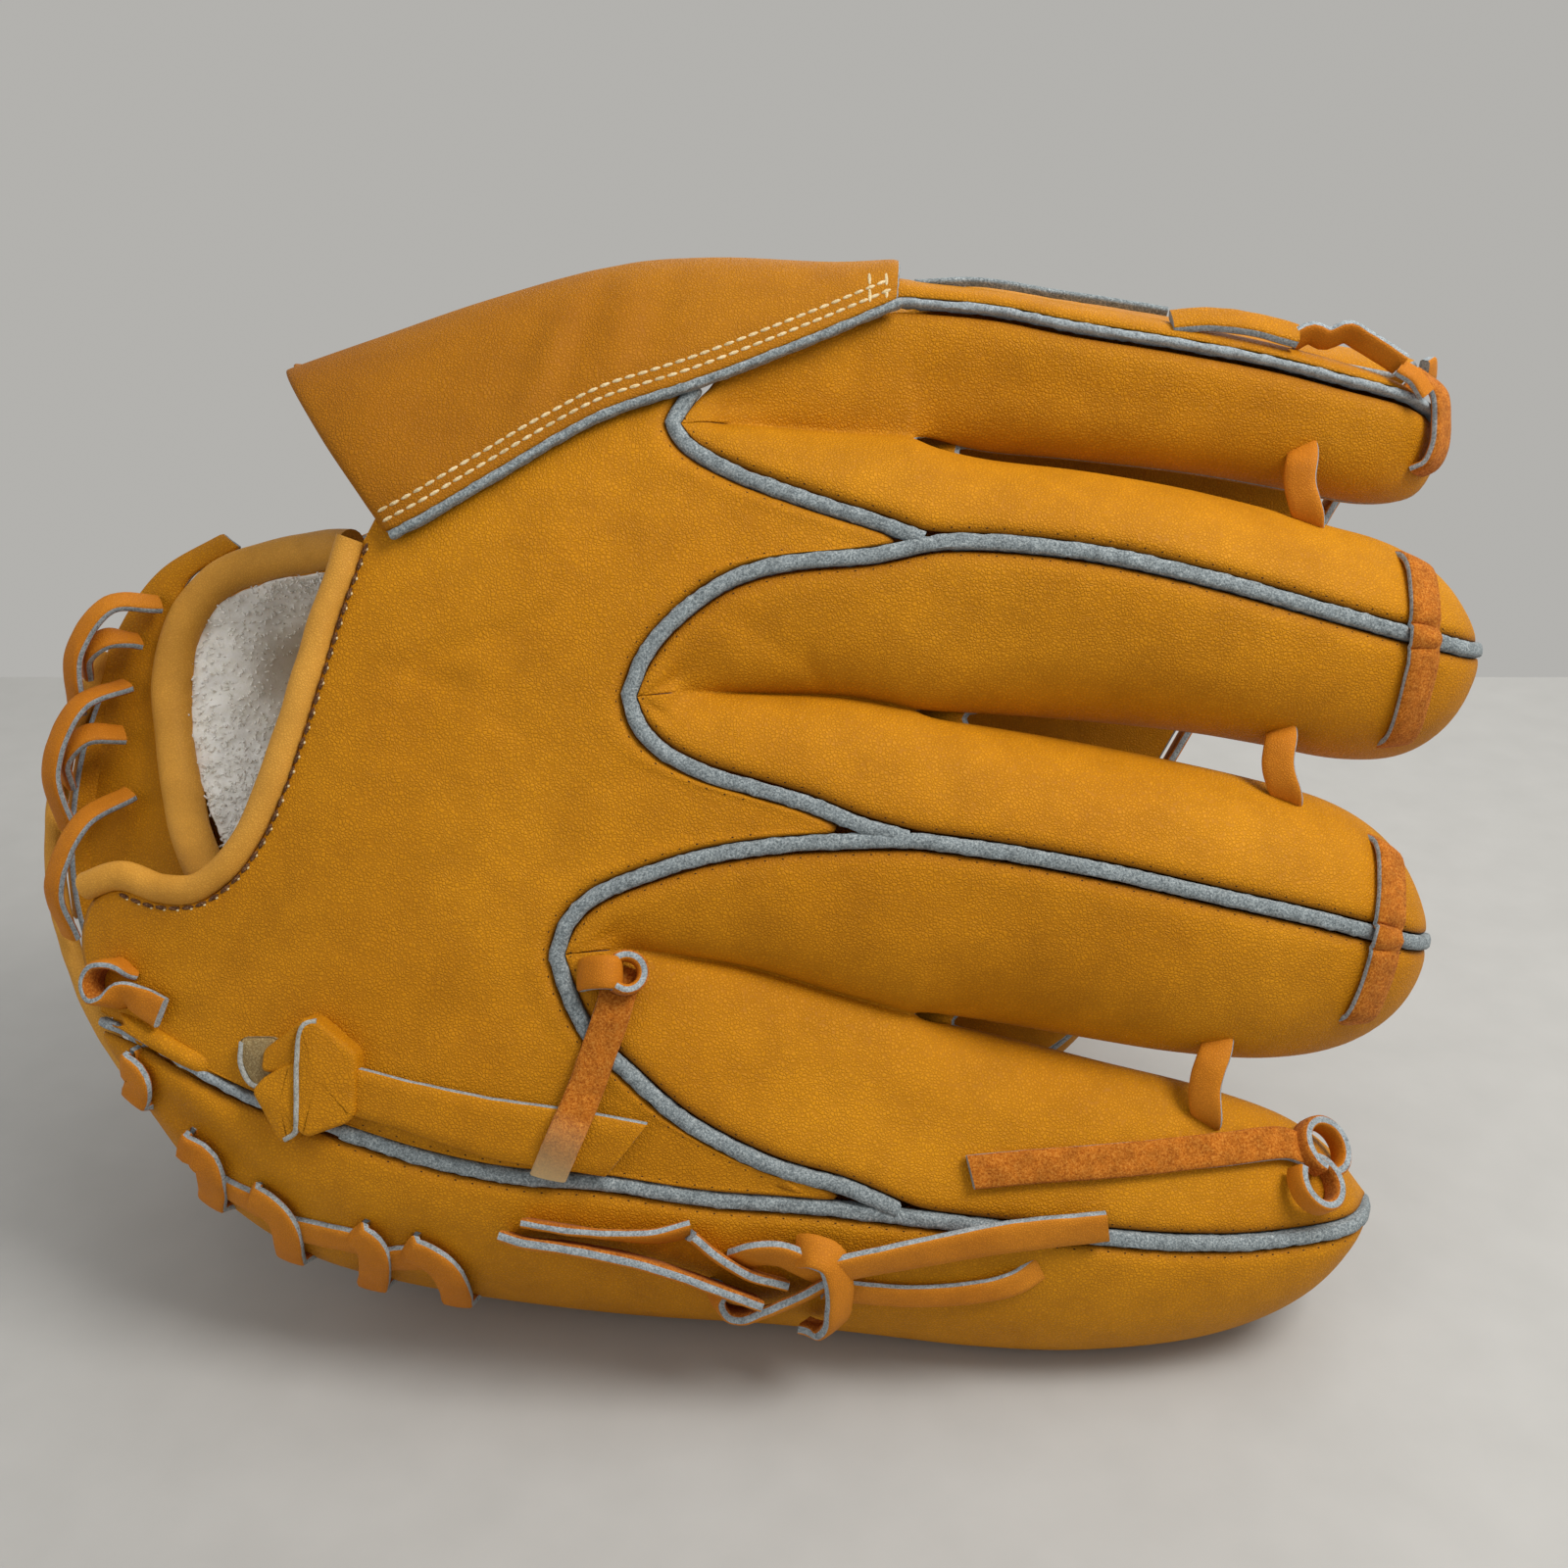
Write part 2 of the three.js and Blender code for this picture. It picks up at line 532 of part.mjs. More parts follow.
// The outer side of the index finger, from its crest over to the web.
function indexOuterPanel() {
  const root = sample(line([[-8, 209, 15], [8, 213, 16.5], [24, 217, 17.8]]), 3);
  const crest = beside(joined(root, crests.index), 2 * PANEL_TO_WELT);
  const upper = joined(sample(line([[-8, 217, 27], [8, 221, 30], [24, 224, 32]]), 3), sides.index.upper);
  return leather([crest.map((p, i) => rounded(p, upper[i], ROUND_STEPS))], LEATHER, towardsPalm);
}

const littleTip = new THREE.Vector3(FINGERS.little.tip[0], FINGERS.little.tip[1] - PANEL_TO_WELT,
  backDepth(...FINGERS.little.tip) + BACK_OF_FINGER);
const littleEdge = [...sample(line(LITTLE_EDGE), 22), littleTip];

function turnedUnder(p) {
  const fade = 1 - THREE.MathUtils.smoothstep(p.x, LITTLE_RETURN.from, LITTLE_RETURN.to);
  return new THREE.Vector3(p.x, p.y + LITTLE_RETURN.v * fade, p.z + LITTLE_RETURN.w * fade);
}

// The edge turned under, from one place along the glove to another.
function underEdge(from, to, count) {
  const places = littleEdge.filter((p) => p.x > from && p.x < to).map(turnedUnder);
  return sample(new THREE.CatmullRomCurve3(places), count);
}

// The outer side of the little finger and the edge of the hand, down to the table and a little way under.
function littleOuterPanel() {
  const crest = beside(joined(heelCrest, crests.little), -PANEL_TO_WELT);
  const grid = crest.map((p, i) => [...rounded(p, littleEdge[i], 5), turnedUnder(littleEdge[i])]);
  return leather([grid], LEATHER, towardsPalm);
}

// The front of one finger stall, from its lower seam to its upper seam.
function stallFront(lower, upper, steps) {
  return lower.map((low, i) => {
    const width = low.distanceTo(upper[i]);
    return Array.from({ length: steps + 1 }, (_, k) => {
      const across = Math.sin((-1 + (2 * k) / steps) * Math.PI * 0.5);
      const p = new THREE.Vector3().lerpVectors(low, upper[i], 0.5 + 0.5 * across);
      p.z += SEAM_GAP + Math.min(FRONT_BULGE, 0.5 * width) * Math.sqrt(Math.max(0, 1 - across * across));
      return p;
    });
  });
}

// The palm leather: the fronts of the four fingers, the pocket and the front of the thumb, in one sheet.
function palmPanel() {
  const across = 4;
  const littleLow = underEdge(28, littleTip.x + 1, FINGER_STEPS - 1);
  const stalls = [
    stallFront(littleLow, sides.little.upper.slice(1), across),
    stallFront(sides.ring.lower.slice(1), sides.ring.upper.slice(1), across),
    stallFront(sides.middle.lower.slice(1), sides.middle.upper.slice(1), across),
    stallFront(sides.index.lower.slice(1), sides.index.upper.slice(1), across),
  ];
  const arch = sample(line(POCKET_ARCH.map(([v, w]) => [STALL_U, v, w])), 6).slice(1);
  const thumb = THUMB_FRONT.map(({ u, high, low }) => Array.from({ length: across + 1 }, (_, k) => {
    const t = k / across;
    return new THREE.Vector3(u, THREE.MathUtils.lerp(high[0], low[0], t),
      THREE.MathUtils.lerp(high[1], low[1], t) - THUMB_FRONT_SAG * Math.sin(Math.PI * t));
  }));
  const firstRow = [...stalls.flatMap((stall) => stall[0]), ...arch, ...thumb[0].slice(1)];
  const fingerCount = stalls.flatMap((stall) => stall[0]).length;
  const heel = line(HEEL_EDGE);
  const rows = 8;
  const palm = Array.from({ length: rows + 1 }, (_, i) => {
    const t = i / rows;
    const row = firstRow.map((p, k) => {
      const share = k < fingerCount
        ? (HEEL_SHARE * k) / (fingerCount - 1)
        : HEEL_SHARE + ((1 - HEEL_SHARE) * (k - fingerCount + 1)) / (firstRow.length - fingerCount);
      const q = new THREE.Vector3().lerpVectors(heel.getPointAt(share), p, t);
      const handSide = THREE.MathUtils.clamp(1 - (k - fingerCount * 0.75) / 6, 0, 1);
      q.z += PALM_FULLNESS * handSide * Math.sin(Math.PI * Math.min(1, 1.15 * t) ** 0.8);
      return q;
    });
    return i === rows ? firstRow : row;
  });
  const under = underEdge(-112, 42, rows);
  palm.slice(0, rows).forEach((row, i) => {
    const shift = under[i].clone().add(new THREE.Vector3(0, SEAT.lift, SEAT.past)).sub(row[0]);
    row.forEach((p, k) => p.addScaledVector(shift, Math.max(0, 1 - k / 6)));
  });
  return leather([palm, ...stalls, thumb], LEATHER, towardsBack);
}

function thumbBackPanel() {
  const rows = THUMB.map(({ u, top, belly, bottom }) => {
    const [high, middle, low] = [top, belly, bottom].map(([v, w]) => new THREE.Vector3(u, v, w));
    return joined(rounded(middle, high, 3).reverse(), rounded(middle, low, 3));
  });
  const tip = new THREE.Vector3(...THUMB_TIP);
  const curves = rows[0].map((_, k) => new THREE.CatmullRomCurve3([...rows.map((row) => row[k]), tip]));
  const count = 14;
  const grid = Array.from({ length: count + 1 }, (_, i) => curves.map((curve) => curve.getPoint(i / count)));
  return leather([grid], LEATHER, towardsBack);
}

function webPanel() {
  const base = sample(line(POCKET_ARCH.map(([v, w]) => [STALL_U + WEB_SEAM, v + 0.6, w + 1])), 8);
  const mouth = sample(line(WEB_MOUTH), 8);
  const low = sample(line(WEB_LOW), 7);
  const grid = low.map((lowest, i) => base.map((p, k) => {
    const t = i / 7;
    const q = new THREE.Vector3().lerpVectors(p, mouth[k], t);
    q.z += WEB_FULLNESS * Math.sin(Math.PI * t) * Math.sin((Math.PI * k) / 8);
    const pull = lowest.clone().sub(new THREE.Vector3().lerpVectors(base[8], mouth[8], t));
    return q.addScaledVector(pull, Math.max(0, (k - 4) / 4));
  }));
  return leather([grid], WEB_LEATHER, towardsPalm);
}

function fingerHood() {
  const edge = (key) => sample(line(HOOD.map((row) => row[key])), 12);
  const [lower, ridge, rear] = [edge('lower'), edge('ridge'), edge('rear')];
  const grid = lower.map((low, i) => [
    ...rounded(low, ridge[i], 6),
    ...rounded(rear[i], ridge[i], 3).reverse().slice(1),
  ]);
  return leather([grid], LEATHER, towardsPalm);
}

// A strip of leather or fleece between two lines.
function between(first, second, count, steps, thickness, towards) {
  const from = sample(line(first), count);
  const to = sample(line(second), count);
  const grid = from.map((p, i) => Array.from({ length: steps + 1 }, (_, k) => new THREE.Vector3()
    .lerpVectors(p, to[i], k / steps)));
  return leather([grid], thickness, towards);
}

// A welt is a narrow strip of split leather, set on edge between two panels.
function welt(places) {
  const seat = places.map((p) => new THREE.Vector3(p.x, p.y, p.z + 0.5 * WELT_HEIGHT - WELT_PROUD));
  return strip(seat, WELT_WIDTH, WELT_HEIGHT, 4);
}

const shortOfTip = (name, stop = 4) => crests[name].filter((p) => p.x < FINGERS[name].tip[0] - stop);
const welts = {
  index_welt: shortOfTip('index'),
  index_middle_welt: [...seams.indexMiddle.upper.slice(0, 2).reverse(),
    ...seams.indexMiddle.lower.slice(1, 10)],
  middle_welt: [...seams.middleRing.lower.slice(0, 9).reverse(), ...seams.middleRing.upper.slice(1),
    ...shortOfTip('middle').slice(1)],
  ring_welt: [...seams.ringLittle.lower.slice(0, 9).reverse(), ...seams.ringLittle.upper.slice(1),
    ...shortOfTip('ring').slice(1)],
  little_welt: joined(heelCrest.slice(4), shortOfTip('little', 10)),
};

const group = new THREE.Group();
function piece(name, geometry, material) {
  const mesh = new THREE.Mesh(geometry, material);
  mesh.name = name;
  group.add(mesh);
  return mesh;
}

piece('back_panel', backPanel(), TAN);
piece('index_outer_panel', indexOuterPanel(), TAN);
piece('index_middle_gusset', gusset(seams.indexMiddle, 'index', 'middle'), TAN);
piece('middle_ring_gusset', gusset(seams.middleRing, 'middle', 'ring'), TAN);
piece('ring_little_gusset', gusset(seams.ringLittle, 'ring', 'little'), TAN);
piece('little_outer_panel', littleOuterPanel(), TAN);
piece('palm_panel', palmPanel(), TAN);
piece('thumb_back_panel', thumbBackPanel(), TAN);
piece('web_panel', webPanel(), TAN);
piece('finger_hood', fingerHood(), TAN);
Object.entries(welts).forEach(([name, places]) => piece(name, welt(places), WELT));

const rolledEdge = sample(backLine(WRIST_EDGE.slice(0, BINDING_COUNT)), 16);
const bindingPlaces = beside(rolledEdge, -0.5 * WRIST_ROLL.width - 0.6)
  .map((p) => p.add(new THREE.Vector3(0, 0, 1)));
piece('wrist_binding', strip(bindingPlaces, WRIST_ROLL.width, WRIST_ROLL.height, 8), TAN);
piece('heel_roll', strip(sample(line(HEEL_ROLL), 16), HEEL_PAD.width, HEEL_PAD.height, 8), TAN);
piece('heel_lining', between(HEEL_LINING.inner, HEEL_LINING.outer, 10, 2, LEATHER, towardsPalm), TAN);
piece('fleece_lining', between(FLEECE.front, FLEECE.rear, 10, 3, FLEECE.thickness, towardsPalm), WOOL);

// Finds the leather under a place on the back of the glove, with the direction that its surface faces.
// The narrow slots beside the welts are bridged, because a lace is wider than they are.
const ray = new THREE.Raycaster();
const SLOT = 1.7;
function surface(u, v) {
  const into = turned(towardsPalm);
  const from = stand(new THREE.Vector3(u, v, -60));
  const hits = [-SLOT, 0, SLOT].flatMap((aside) => {
    ray.set(from.clone().add(turned(new THREE.Vector3(0, aside, 0))), into);
    return ray.intersectObjects(group.children, false).slice(0, 1);
  });
  if (!hits.length) return null;
  const first = hits.reduce((best, hit) => (hit.distance < best.distance ? hit : best));
  return { at: from.addScaledVector(into, first.distance), facing: first.face.normal.clone() };
}

// How far the leather stands above a place, seen against the direction that a lace faces.
function rise(place, facing) {
  const reach = 12;
  ray.set(place.clone().addScaledVector(facing, reach), facing.clone().negate());
  const [hit] = ray.intersectObjects(group.children, false);
  return hit ? reach - hit.distance : -reach;
}

// Lays a lace along its route, at the height where its whole width clears the leather and what lies on it.
function laid({ width, route }) {
  const course = line(route);
  const count = Math.max(4, Math.round(course.getLength() / 4.5));
  const stops = sample(course, count)
    .map((p) => ({ lift: p.z, ...surface(p.x, p.y) }))
    .filter((stop) => stop.at);
  const around = (i, reach) => stops.slice(Math.max(0, i - reach), i + reach + 1);
  const facings = stops.map((_, i) => around(i, 1)
    .reduce((sum, stop) => sum.add(stop.facing), new THREE.Vector3())
    .normalize());
  const needs = stops.map(({ at }, i) => {
    const along = around(i, 1)[around(i, 1).length - 1].at.clone().sub(around(i, 1)[0].at).normalize();
    const across = new THREE.Vector3().crossVectors(along, facings[i]).normalize();
    const probes = [-0.5, -0.25, 0, 0.25, 0.5].flatMap((side) => [-2.2, 0, 2.2].map((ahead) => at.clone()
      .addScaledVector(across, side * width).addScaledVector(along, ahead)));
    return Math.max(0, ...probes.map((probe) => rise(probe, facings[i])));
  });
  const places = stops.map(({ at, lift }, i) => at.clone()
    .addScaledVector(facings[i], needs[i] + lift + 0.5 * LACE_THICK));
  return band(places, width, LACE_THICK, facings);
}

// A folded knot: a plate of leather over an outline, raised in the middle, level with the leather under it.
function knot({ outline, middle, lift, thickness, crown }) {
  const centre = surface(...middle);
  const out = centre.facing;
  const flat = outline.map(([u, v]) => {
    const p = stand(new THREE.Vector3(u, v, 0)).sub(centre.at);
    const into = turned(towardsPalm);
    return p.addScaledVector(into, -p.dot(out) / into.dot(out)).add(centre.at);
  });
  const clear = lift + Math.max(0, ...flat.flatMap((p, i) => {
    const next = flat[(i + 1) % flat.length];
    return [p, p.clone().lerp(centre.at, 0.5), p.clone().lerp(next, 0.5)].map((probe) => rise(probe, out));
  }));
  const level = (p, height) => p.clone().addScaledVector(out, clear + height);
  const count = outline.length;
  const points = [...flat.map((p) => level(p, 0)), ...flat.map((p) => level(p, thickness - crown)),
    level(centre.at, 0), level(centre.at, thickness)];
  const triangles = [];
  for (let i = 0; i < count; i += 1) {
    const j = (i + 1) % count;
    triangles.push([i, j, 2 * count], [count + j, count + i, 2 * count + 1]);
    triangles.push([j, i, count + i], [j, count + i, count + j]);
  }
  return outward(solid(points, triangles));
}

piece('strap_knot', knot(STRAP_KNOT), TAN);
Object.entries(LAID_LACES).forEach(([name, lace]) => piece(name, laid(lace), LACE));
piece('little_edge_knot', knot(EDGE_KNOT), LACE);

// A bridge lace spans the gap between two fingers, from the side of one to the side of the other.
BRIDGES.forEach(({ name, u, from, to, lift }) => {
  const ends = [surface(u, from), surface(u, to)];
  const places = [0, 0.25, 0.5, 0.75, 1].map((t) => ends[0].at.clone().lerp(ends[1].at, t)
    .addScaledVector(turned(towardsBack), lift + 0.5 * LACE_THICK));
  piece(name, band(places, LACE_WIDTH, LACE_THICK, places.map(() => turned(towardsBack))), LACE);
});

// The heel lace zigzags between the holes of the lining and the edge of the palm.
const heelCourse = HEEL_HOLES.flatMap(({ lining, palm }) => [lining, palm]);
piece('heel_lace', strip(sample(line(heelCourse), 44), HEEL_LACE_WIDTH, LACE_THICK, 4), LACE);

const heelEdge = beside(sample(line(HEEL_EDGE.slice(1, 6)), 12), HEEL_BINDING_OUT);
piece('palm_heel_binding', strip(heelEdge, BINDING_PIPE, BINDING_PIPE, 6), TAN);

// A lace binds the mouth of the web.
const towardsTips = new THREE.Vector3(1, 0, 0);
const mouthCourse = sample(line(WEB_MOUTH), 14).slice(1, 13)
  .map((p) => p.addScaledVector(towardsTips, WEB_LACE_OUT));
piece('web_mouth_lace', strip(mouthCourse, MOUTH_LACE.width, MOUTH_LACE.height, 6, towardsTips), LACE);

export default group;
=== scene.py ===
"""A pitcher's glove for the right hand, dressed in leather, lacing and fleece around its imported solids.

The leather is laid out in a glove frame that leans back on the table:
    u  runs along the fingers, from the heel towards the fingertips,
    v  runs across the hand, from the little finger up to the index finger,
    w  runs from the back of the hand towards the palm and the thumb behind it.
Places in that frame are millimetres. Meshes are metres, in the upright frame of the table.
"""
from __future__ import annotations

import logging
import math
from dataclasses import dataclass, field, replace
from enum import Enum
from functools import cache
from typing import Callable, Iterable, Sequence

import bmesh
import bpy
from mathutils import Matrix, Vector, noise
from mathutils.bvhtree import BVHTree

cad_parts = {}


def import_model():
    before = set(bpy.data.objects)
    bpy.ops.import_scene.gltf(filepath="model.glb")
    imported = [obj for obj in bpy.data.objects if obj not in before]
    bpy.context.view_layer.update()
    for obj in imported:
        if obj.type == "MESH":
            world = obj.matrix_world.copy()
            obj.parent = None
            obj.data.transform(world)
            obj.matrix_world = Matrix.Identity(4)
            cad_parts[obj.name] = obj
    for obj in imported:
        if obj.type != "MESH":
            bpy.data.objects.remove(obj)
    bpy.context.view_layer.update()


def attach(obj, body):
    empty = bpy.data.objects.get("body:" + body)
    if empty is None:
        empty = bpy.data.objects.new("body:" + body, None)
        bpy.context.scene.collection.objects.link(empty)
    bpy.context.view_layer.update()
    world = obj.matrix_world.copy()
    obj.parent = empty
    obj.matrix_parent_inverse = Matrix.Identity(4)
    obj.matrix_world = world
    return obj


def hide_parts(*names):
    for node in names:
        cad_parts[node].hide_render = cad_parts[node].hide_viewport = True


LOG = logging.getLogger("glove")
MM = 0.001
SEED = 11
Rows = Sequence[Sequence[float]]
Grid = list[list[Vector]]


@dataclass(frozen=True)
class GloveFrame:
    """The frame that the glove's leather is laid out in, and how it leans on the table."""

    lean: float = math.radians(26)
    drop: float = 15.3
    origin: tuple[float, float] = (-8.62, 97.93)

    def upright(self, place: Sequence[float]) -> Vector:
        """Turns a place upright on the table, in metres."""
        u, v, w = place
        y = w * math.cos(self.lean) + v * math.sin(self.lean) - self.origin[1]
        z = v * math.cos(self.lean) - w * math.sin(self.lean) + self.drop
        return Vector((u - self.origin[0], y, z)) * MM

    def stand(self, place: Sequence[float]) -> Vector:
        """Turns a place upright on the table, in metres, and flattens what would sink into it."""
        upright = self.upright(place)
        return Vector((upright.x, upright.y, max(0.0, upright.z)))

    def turned(self, direction: Vector) -> Vector:
        """Turns a direction of the glove frame upright."""
        y = direction.z * math.cos(self.lean) + direction.y * math.sin(self.lean)
        z = direction.y * math.cos(self.lean) - direction.z * math.sin(self.lean)
        return Vector((direction.x, y, z))


FRAME = GloveFrame()
TOWARDS_PALM = Vector((0, 0, 1))
TOWARDS_BACK = Vector((0, 0, -1))
TOWARDS_TIPS = Vector((1, 0, 0))


class Course:
    """A smooth curve through places, read by its length."""

    divisions = 200

    def __init__(self, rows: Iterable[Sequence[float]]) -> None:
        """Fits the curve.

        Args:
            rows: the places that it passes through.
        """
        self.points = [Vector(row) for row in rows]
        stops = [self.bare(share) for share in even(self.divisions)]
        self.lengths = [0.0]
        for first, second in zip(stops, stops[1:]):
            self.lengths.append(self.lengths[-1] + (second - first).length)
        self.length = self.lengths[-1]

    def bare(self, share: float) -> Vector:
        """Reads the curve by its parameter.

        Args:
            share: the parameter, from 0 to 1.

        Returns:
            The place there.
        """
        last = len(self.points) - 1
        spot = min(max(share, 0.0), 1.0) * last
        start = min(int(spot), last - 1)
        weight = spot - start
        p1, p2 = self.points[start], self.points[start + 1]
        p0 = self.points[start - 1] if start > 0 else p1 * 2 - p2
        p3 = self.points[start + 2] if start + 2 <= last else p2 * 2 - p1
        gaps = [max(math.sqrt((b - a).length), 1e-4) for a, b in ((p0, p1), (p1, p2), (p2, p3))]
        before, here, after = gaps
        leave = ((p1 - p0) / before - (p2 - p0) / (before + here) + (p2 - p1) / here) * here
        arrive = ((p2 - p1) / here - (p3 - p1) / (here + after) + (p3 - p2) / after) * here
        square, cube = weight * weight, weight ** 3
        return (p1 * (2 * cube - 3 * square + 1) + leave * (cube - 2 * square + weight)
                + p2 * (3 * square - 2 * cube) + arrive * (cube - square))

    def at(self, share: float) -> Vector:
        """Reads the curve by its length.

        Args:
            share: the share of its length, from 0 to 1.

        Returns:
            The place there.
        """
        goal = share * self.length
        low, high = 0, self.divisions
        while high - low > 1:
            middle = (low + high) // 2
            if self.lengths[middle] <= goal:
                low = middle
            else:
                high = middle
        span = self.lengths[high] - self.lengths[low]
        part = (goal - self.lengths[low]) / span if span > 0 else 0.0
        return self.bare((low + part) / self.divisions)

    def spaced(self, count: int) -> list[Vector]:
        """Places at even lengths along the curve, both ends included."""
        return [self.at(share) for share in even(count)]


@dataclass(frozen=True)
class Curl:
    """An edge where the back of the glove curls away."""

    start: float
    reach: float
    depth: float

    def depth_at(self, past: float) -> float:
        """How deep the curl has gone at a distance past its start."""
        return self.depth * (max(0.0, past) / self.reach) ** 2


@dataclass(frozen=True)
class Fold:
    """A soft fold or dent in the leather: where it lies, how it runs and how deep it goes."""

    u: float
    v: float
    angle: float
    length: float
    width: float
    depth: float

    def depth_at(self, u: float, v: float) -> float:
        """How deep the fold is at a place.

        Args:
            u: the place along the glove.
            v: the place across it.

        Returns:
            The depth in millimetres, negative where the leather stands out.
        """
        turn = math.radians(self.angle)
        along = (u - self.u) * math.cos(turn) + (v - self.v) * math.sin(turn)
        across = (v - self.v) * math.cos(turn) - (u - self.u) * math.sin(turn)
        return self.depth * math.exp(-(along / self.length) ** 2 - (across / self.width) ** 2)


# Folds of the back, in the columns u, v, angle, length, width and depth.
BACK_FOLDS = [Fold(*row) for row in (
    (-68, 141, 80, 17, 3.2, 0.55), (-60, 138, 76, 14, 2.6, -0.35), (-52, 134, 84, 12, 2.6, 0.4),
    (-34, 174, 60, 15, 3.0, 0.5), (-45, 160, 70, 20, 6.0, -0.6), (-104, 86, 30, 15, 4.5, 0.8),
    (-96, 92, 38, 12, 3.5, -0.5), (-116, 83, 8, 12, 3.5, 0.7), (-70, 72, 14, 26, 7.0, 0.8),
    (-46, 112, 100, 18, 9.0, 0.7), (-84, 120, 72, 22, 7.0, -0.7), (-30, 120, 20, 10, 2.2, 0.45),
    (-23, 138.6, 40, 3.6, 0.8, 0.7), (-20.5, 140.4, 62, 3.4, 0.8, 0.6), (-24, 132.8, -36, 3.6, 0.9, 0.6),
    (-62, 146, 20, 15, 1.8, 0.6), (-66, 139, -14, 13, 1.8, 0.55), (-55, 152, 36, 11, 1.6, -0.4),
    (-58, 133, -30, 12, 1.6, 0.4), (-6, 149, -32, 9, 1.0, 0.6), (-1, 146, -40, 9, 1.0, 0.55),
    (4, 143.5, -58, 7, 0.9, 0.6), (-12, 151, -26, 8, 1.2, 0.4), (7, 139, -72, 6, 0.9, 0.5),
    (-13, 128, 30, 7, 1.2, 0.35), (-34, 90, 35, 4, 0.9, 0.5), (-34, 82, -38, 4, 0.9, 0.5),
    (-10, 195, 10, 9, 1.4, 0.4), (-9, 185, -14, 9, 1.4, 0.4), (60, 198, -8, 28, 3.5, 0.7),
    (30, 207, -5, 22, 3.2, -0.4), (46, 148, -4, 24, 4.0, 0.5), (70, 141, -8, 26, 4.5, -0.4),
    (40, 96, -6, 24, 4.2, 0.5), (30, 52, -14, 28, 5.0, 0.6), (72, 176, -7, 22, 3.0, 0.4),
)]


@dataclass(frozen=True)
class Back:
    """How deep the back of the glove lies: flat over the knuckles, curling away at each edge."""

    level: float = 3
    index: Curl = Curl(150, 80, 22)
    little: Curl = Curl(70, 60, 14)
    wrist: Curl = Curl(-60, 60, 8)
    tips: Curl = Curl(60, 80, 14)
    ripple: float = 0.32
    ripple_length: float = 21

    def depth(self, u: float, v: float) -> float:
        """The plain depth at a place, without folds."""
        return (self.level + self.index.depth_at(v - self.index.start)
                + self.little.depth_at(self.little.start - v)
                + self.wrist.depth_at(self.wrist.start - u) + self.tips.depth_at(u - self.tips.start))

    def relief(self, place: Vector) -> float:
        """The folds and the soft unevenness of the hide at a place."""
        uneven = noise.noise(place / self.ripple_length) * self.ripple
        return uneven + sum(fold.depth_at(place.x, place.y) for fold in BACK_FOLDS)


BACK = Back()


def on_back(rows: Rows) -> Course:
    """A line on the back of the glove, through u, v and, if given, a depth below the back."""
    return Course([(u, v, BACK.depth(u, v) + sum(below)) for u, v, *below in rows])


def beside(places: Sequence[Vector], distance: float) -> list[Vector]:
    """Moves a line sideways in the plane of the back, to the left of its direction.

    Args:
        places: the line.
        distance: how far, in millimetres.

    Returns:
        The moved line.
    """
    moved = []
    for i, place in enumerate(places):
        along = (places[min(i + 1, len(places) - 1)] - places[max(i - 1, 0)]).to_2d().normalized()
        moved.append(Vector((place.x - along.y * distance, place.y + along.x * distance, place.z)))
    return moved


def crowded(length: float, steps: int, near: Sequence[float] = (0.0, 0.5, 1.1, 2.0, 3.4)) -> list[float]:
    """Shares of a width that crowd at its sewn edge, where the leather rolls down.

    Args:
        length: the width in millimetres.
        steps: how many even steps fill the rest.
        near: the distances of the first shares from the sewn edge.

    Returns:
        The shares, from 0 to 1.
    """
    squeeze = min(1.0, 0.4 * length / near[-1]) / max(length, 1e-6)
    first = [distance * squeeze for distance in near]
    return first + [first[-1] + (1 - first[-1]) * (k + 1) / steps for k in range(steps)]


def rounded(crest: Vector, side: Vector, shares: Iterable[float]) -> list[Vector]:
    """Part of an oval from a crest to a side, flat at the crest and steep at the side.

    Args:
        crest: the place where it starts.
        side: the place where it ends.
        shares: how far round each place lies, from 0 to 1.

    Returns:
        The places.
    """
    row = []
    for share in shares:
        angle = share * math.pi / 2
        level, sink = math.sin(angle), 1 - math.cos(angle)
        row.append(Vector((crest.x + (side.x - crest.x) * level, crest.y + (side.y - crest.y) * level,
                           crest.z + (side.z - crest.z) * sink)))
    return row


def even(steps: int) -> list[float]:
    """Even shares from 0 to 1."""
    return [k / steps for k in range(steps + 1)]


@dataclass(frozen=True)
class SeamRoll:
    """How leather rolls down into a sewn edge, with the dimple of a stitch row beside it."""

    depth: float = 1.3
    reach: float = 2.4
    puff: float = 0.25
    puff_at: float = 4.5

    def sink(self, distance: float) -> float:
        """How deep the leather lies at a distance from the sewn edge.

        Args:
            distance: the distance in millimetres.

        Returns:
            The depth in millimetres.
        """
        near = max(0.0, 1 - distance / self.reach)
        puffed = self.puff * math.exp(-((distance - self.puff_at) / 2.2) ** 2)
        return self.depth * near * near - puffed


ROLL = SeamRoll()


def roll_row(row: list[Vector], weight: float = 1.0) -> list[Vector]:
    """Sinks the start of a row of places into the sewn edge that it starts at.

    Args:
        row: the places, from the sewn edge inwards.
        weight: the share of the full depth.

    Returns:
        The same row, sunk.
    """
    start = row[0].copy()
    span = (row[-1] - start).length
    share = weight * min(1.0, span / 9)
    for place in row:
        place.z += share * ROLL.sink((place - start).length)
    return row


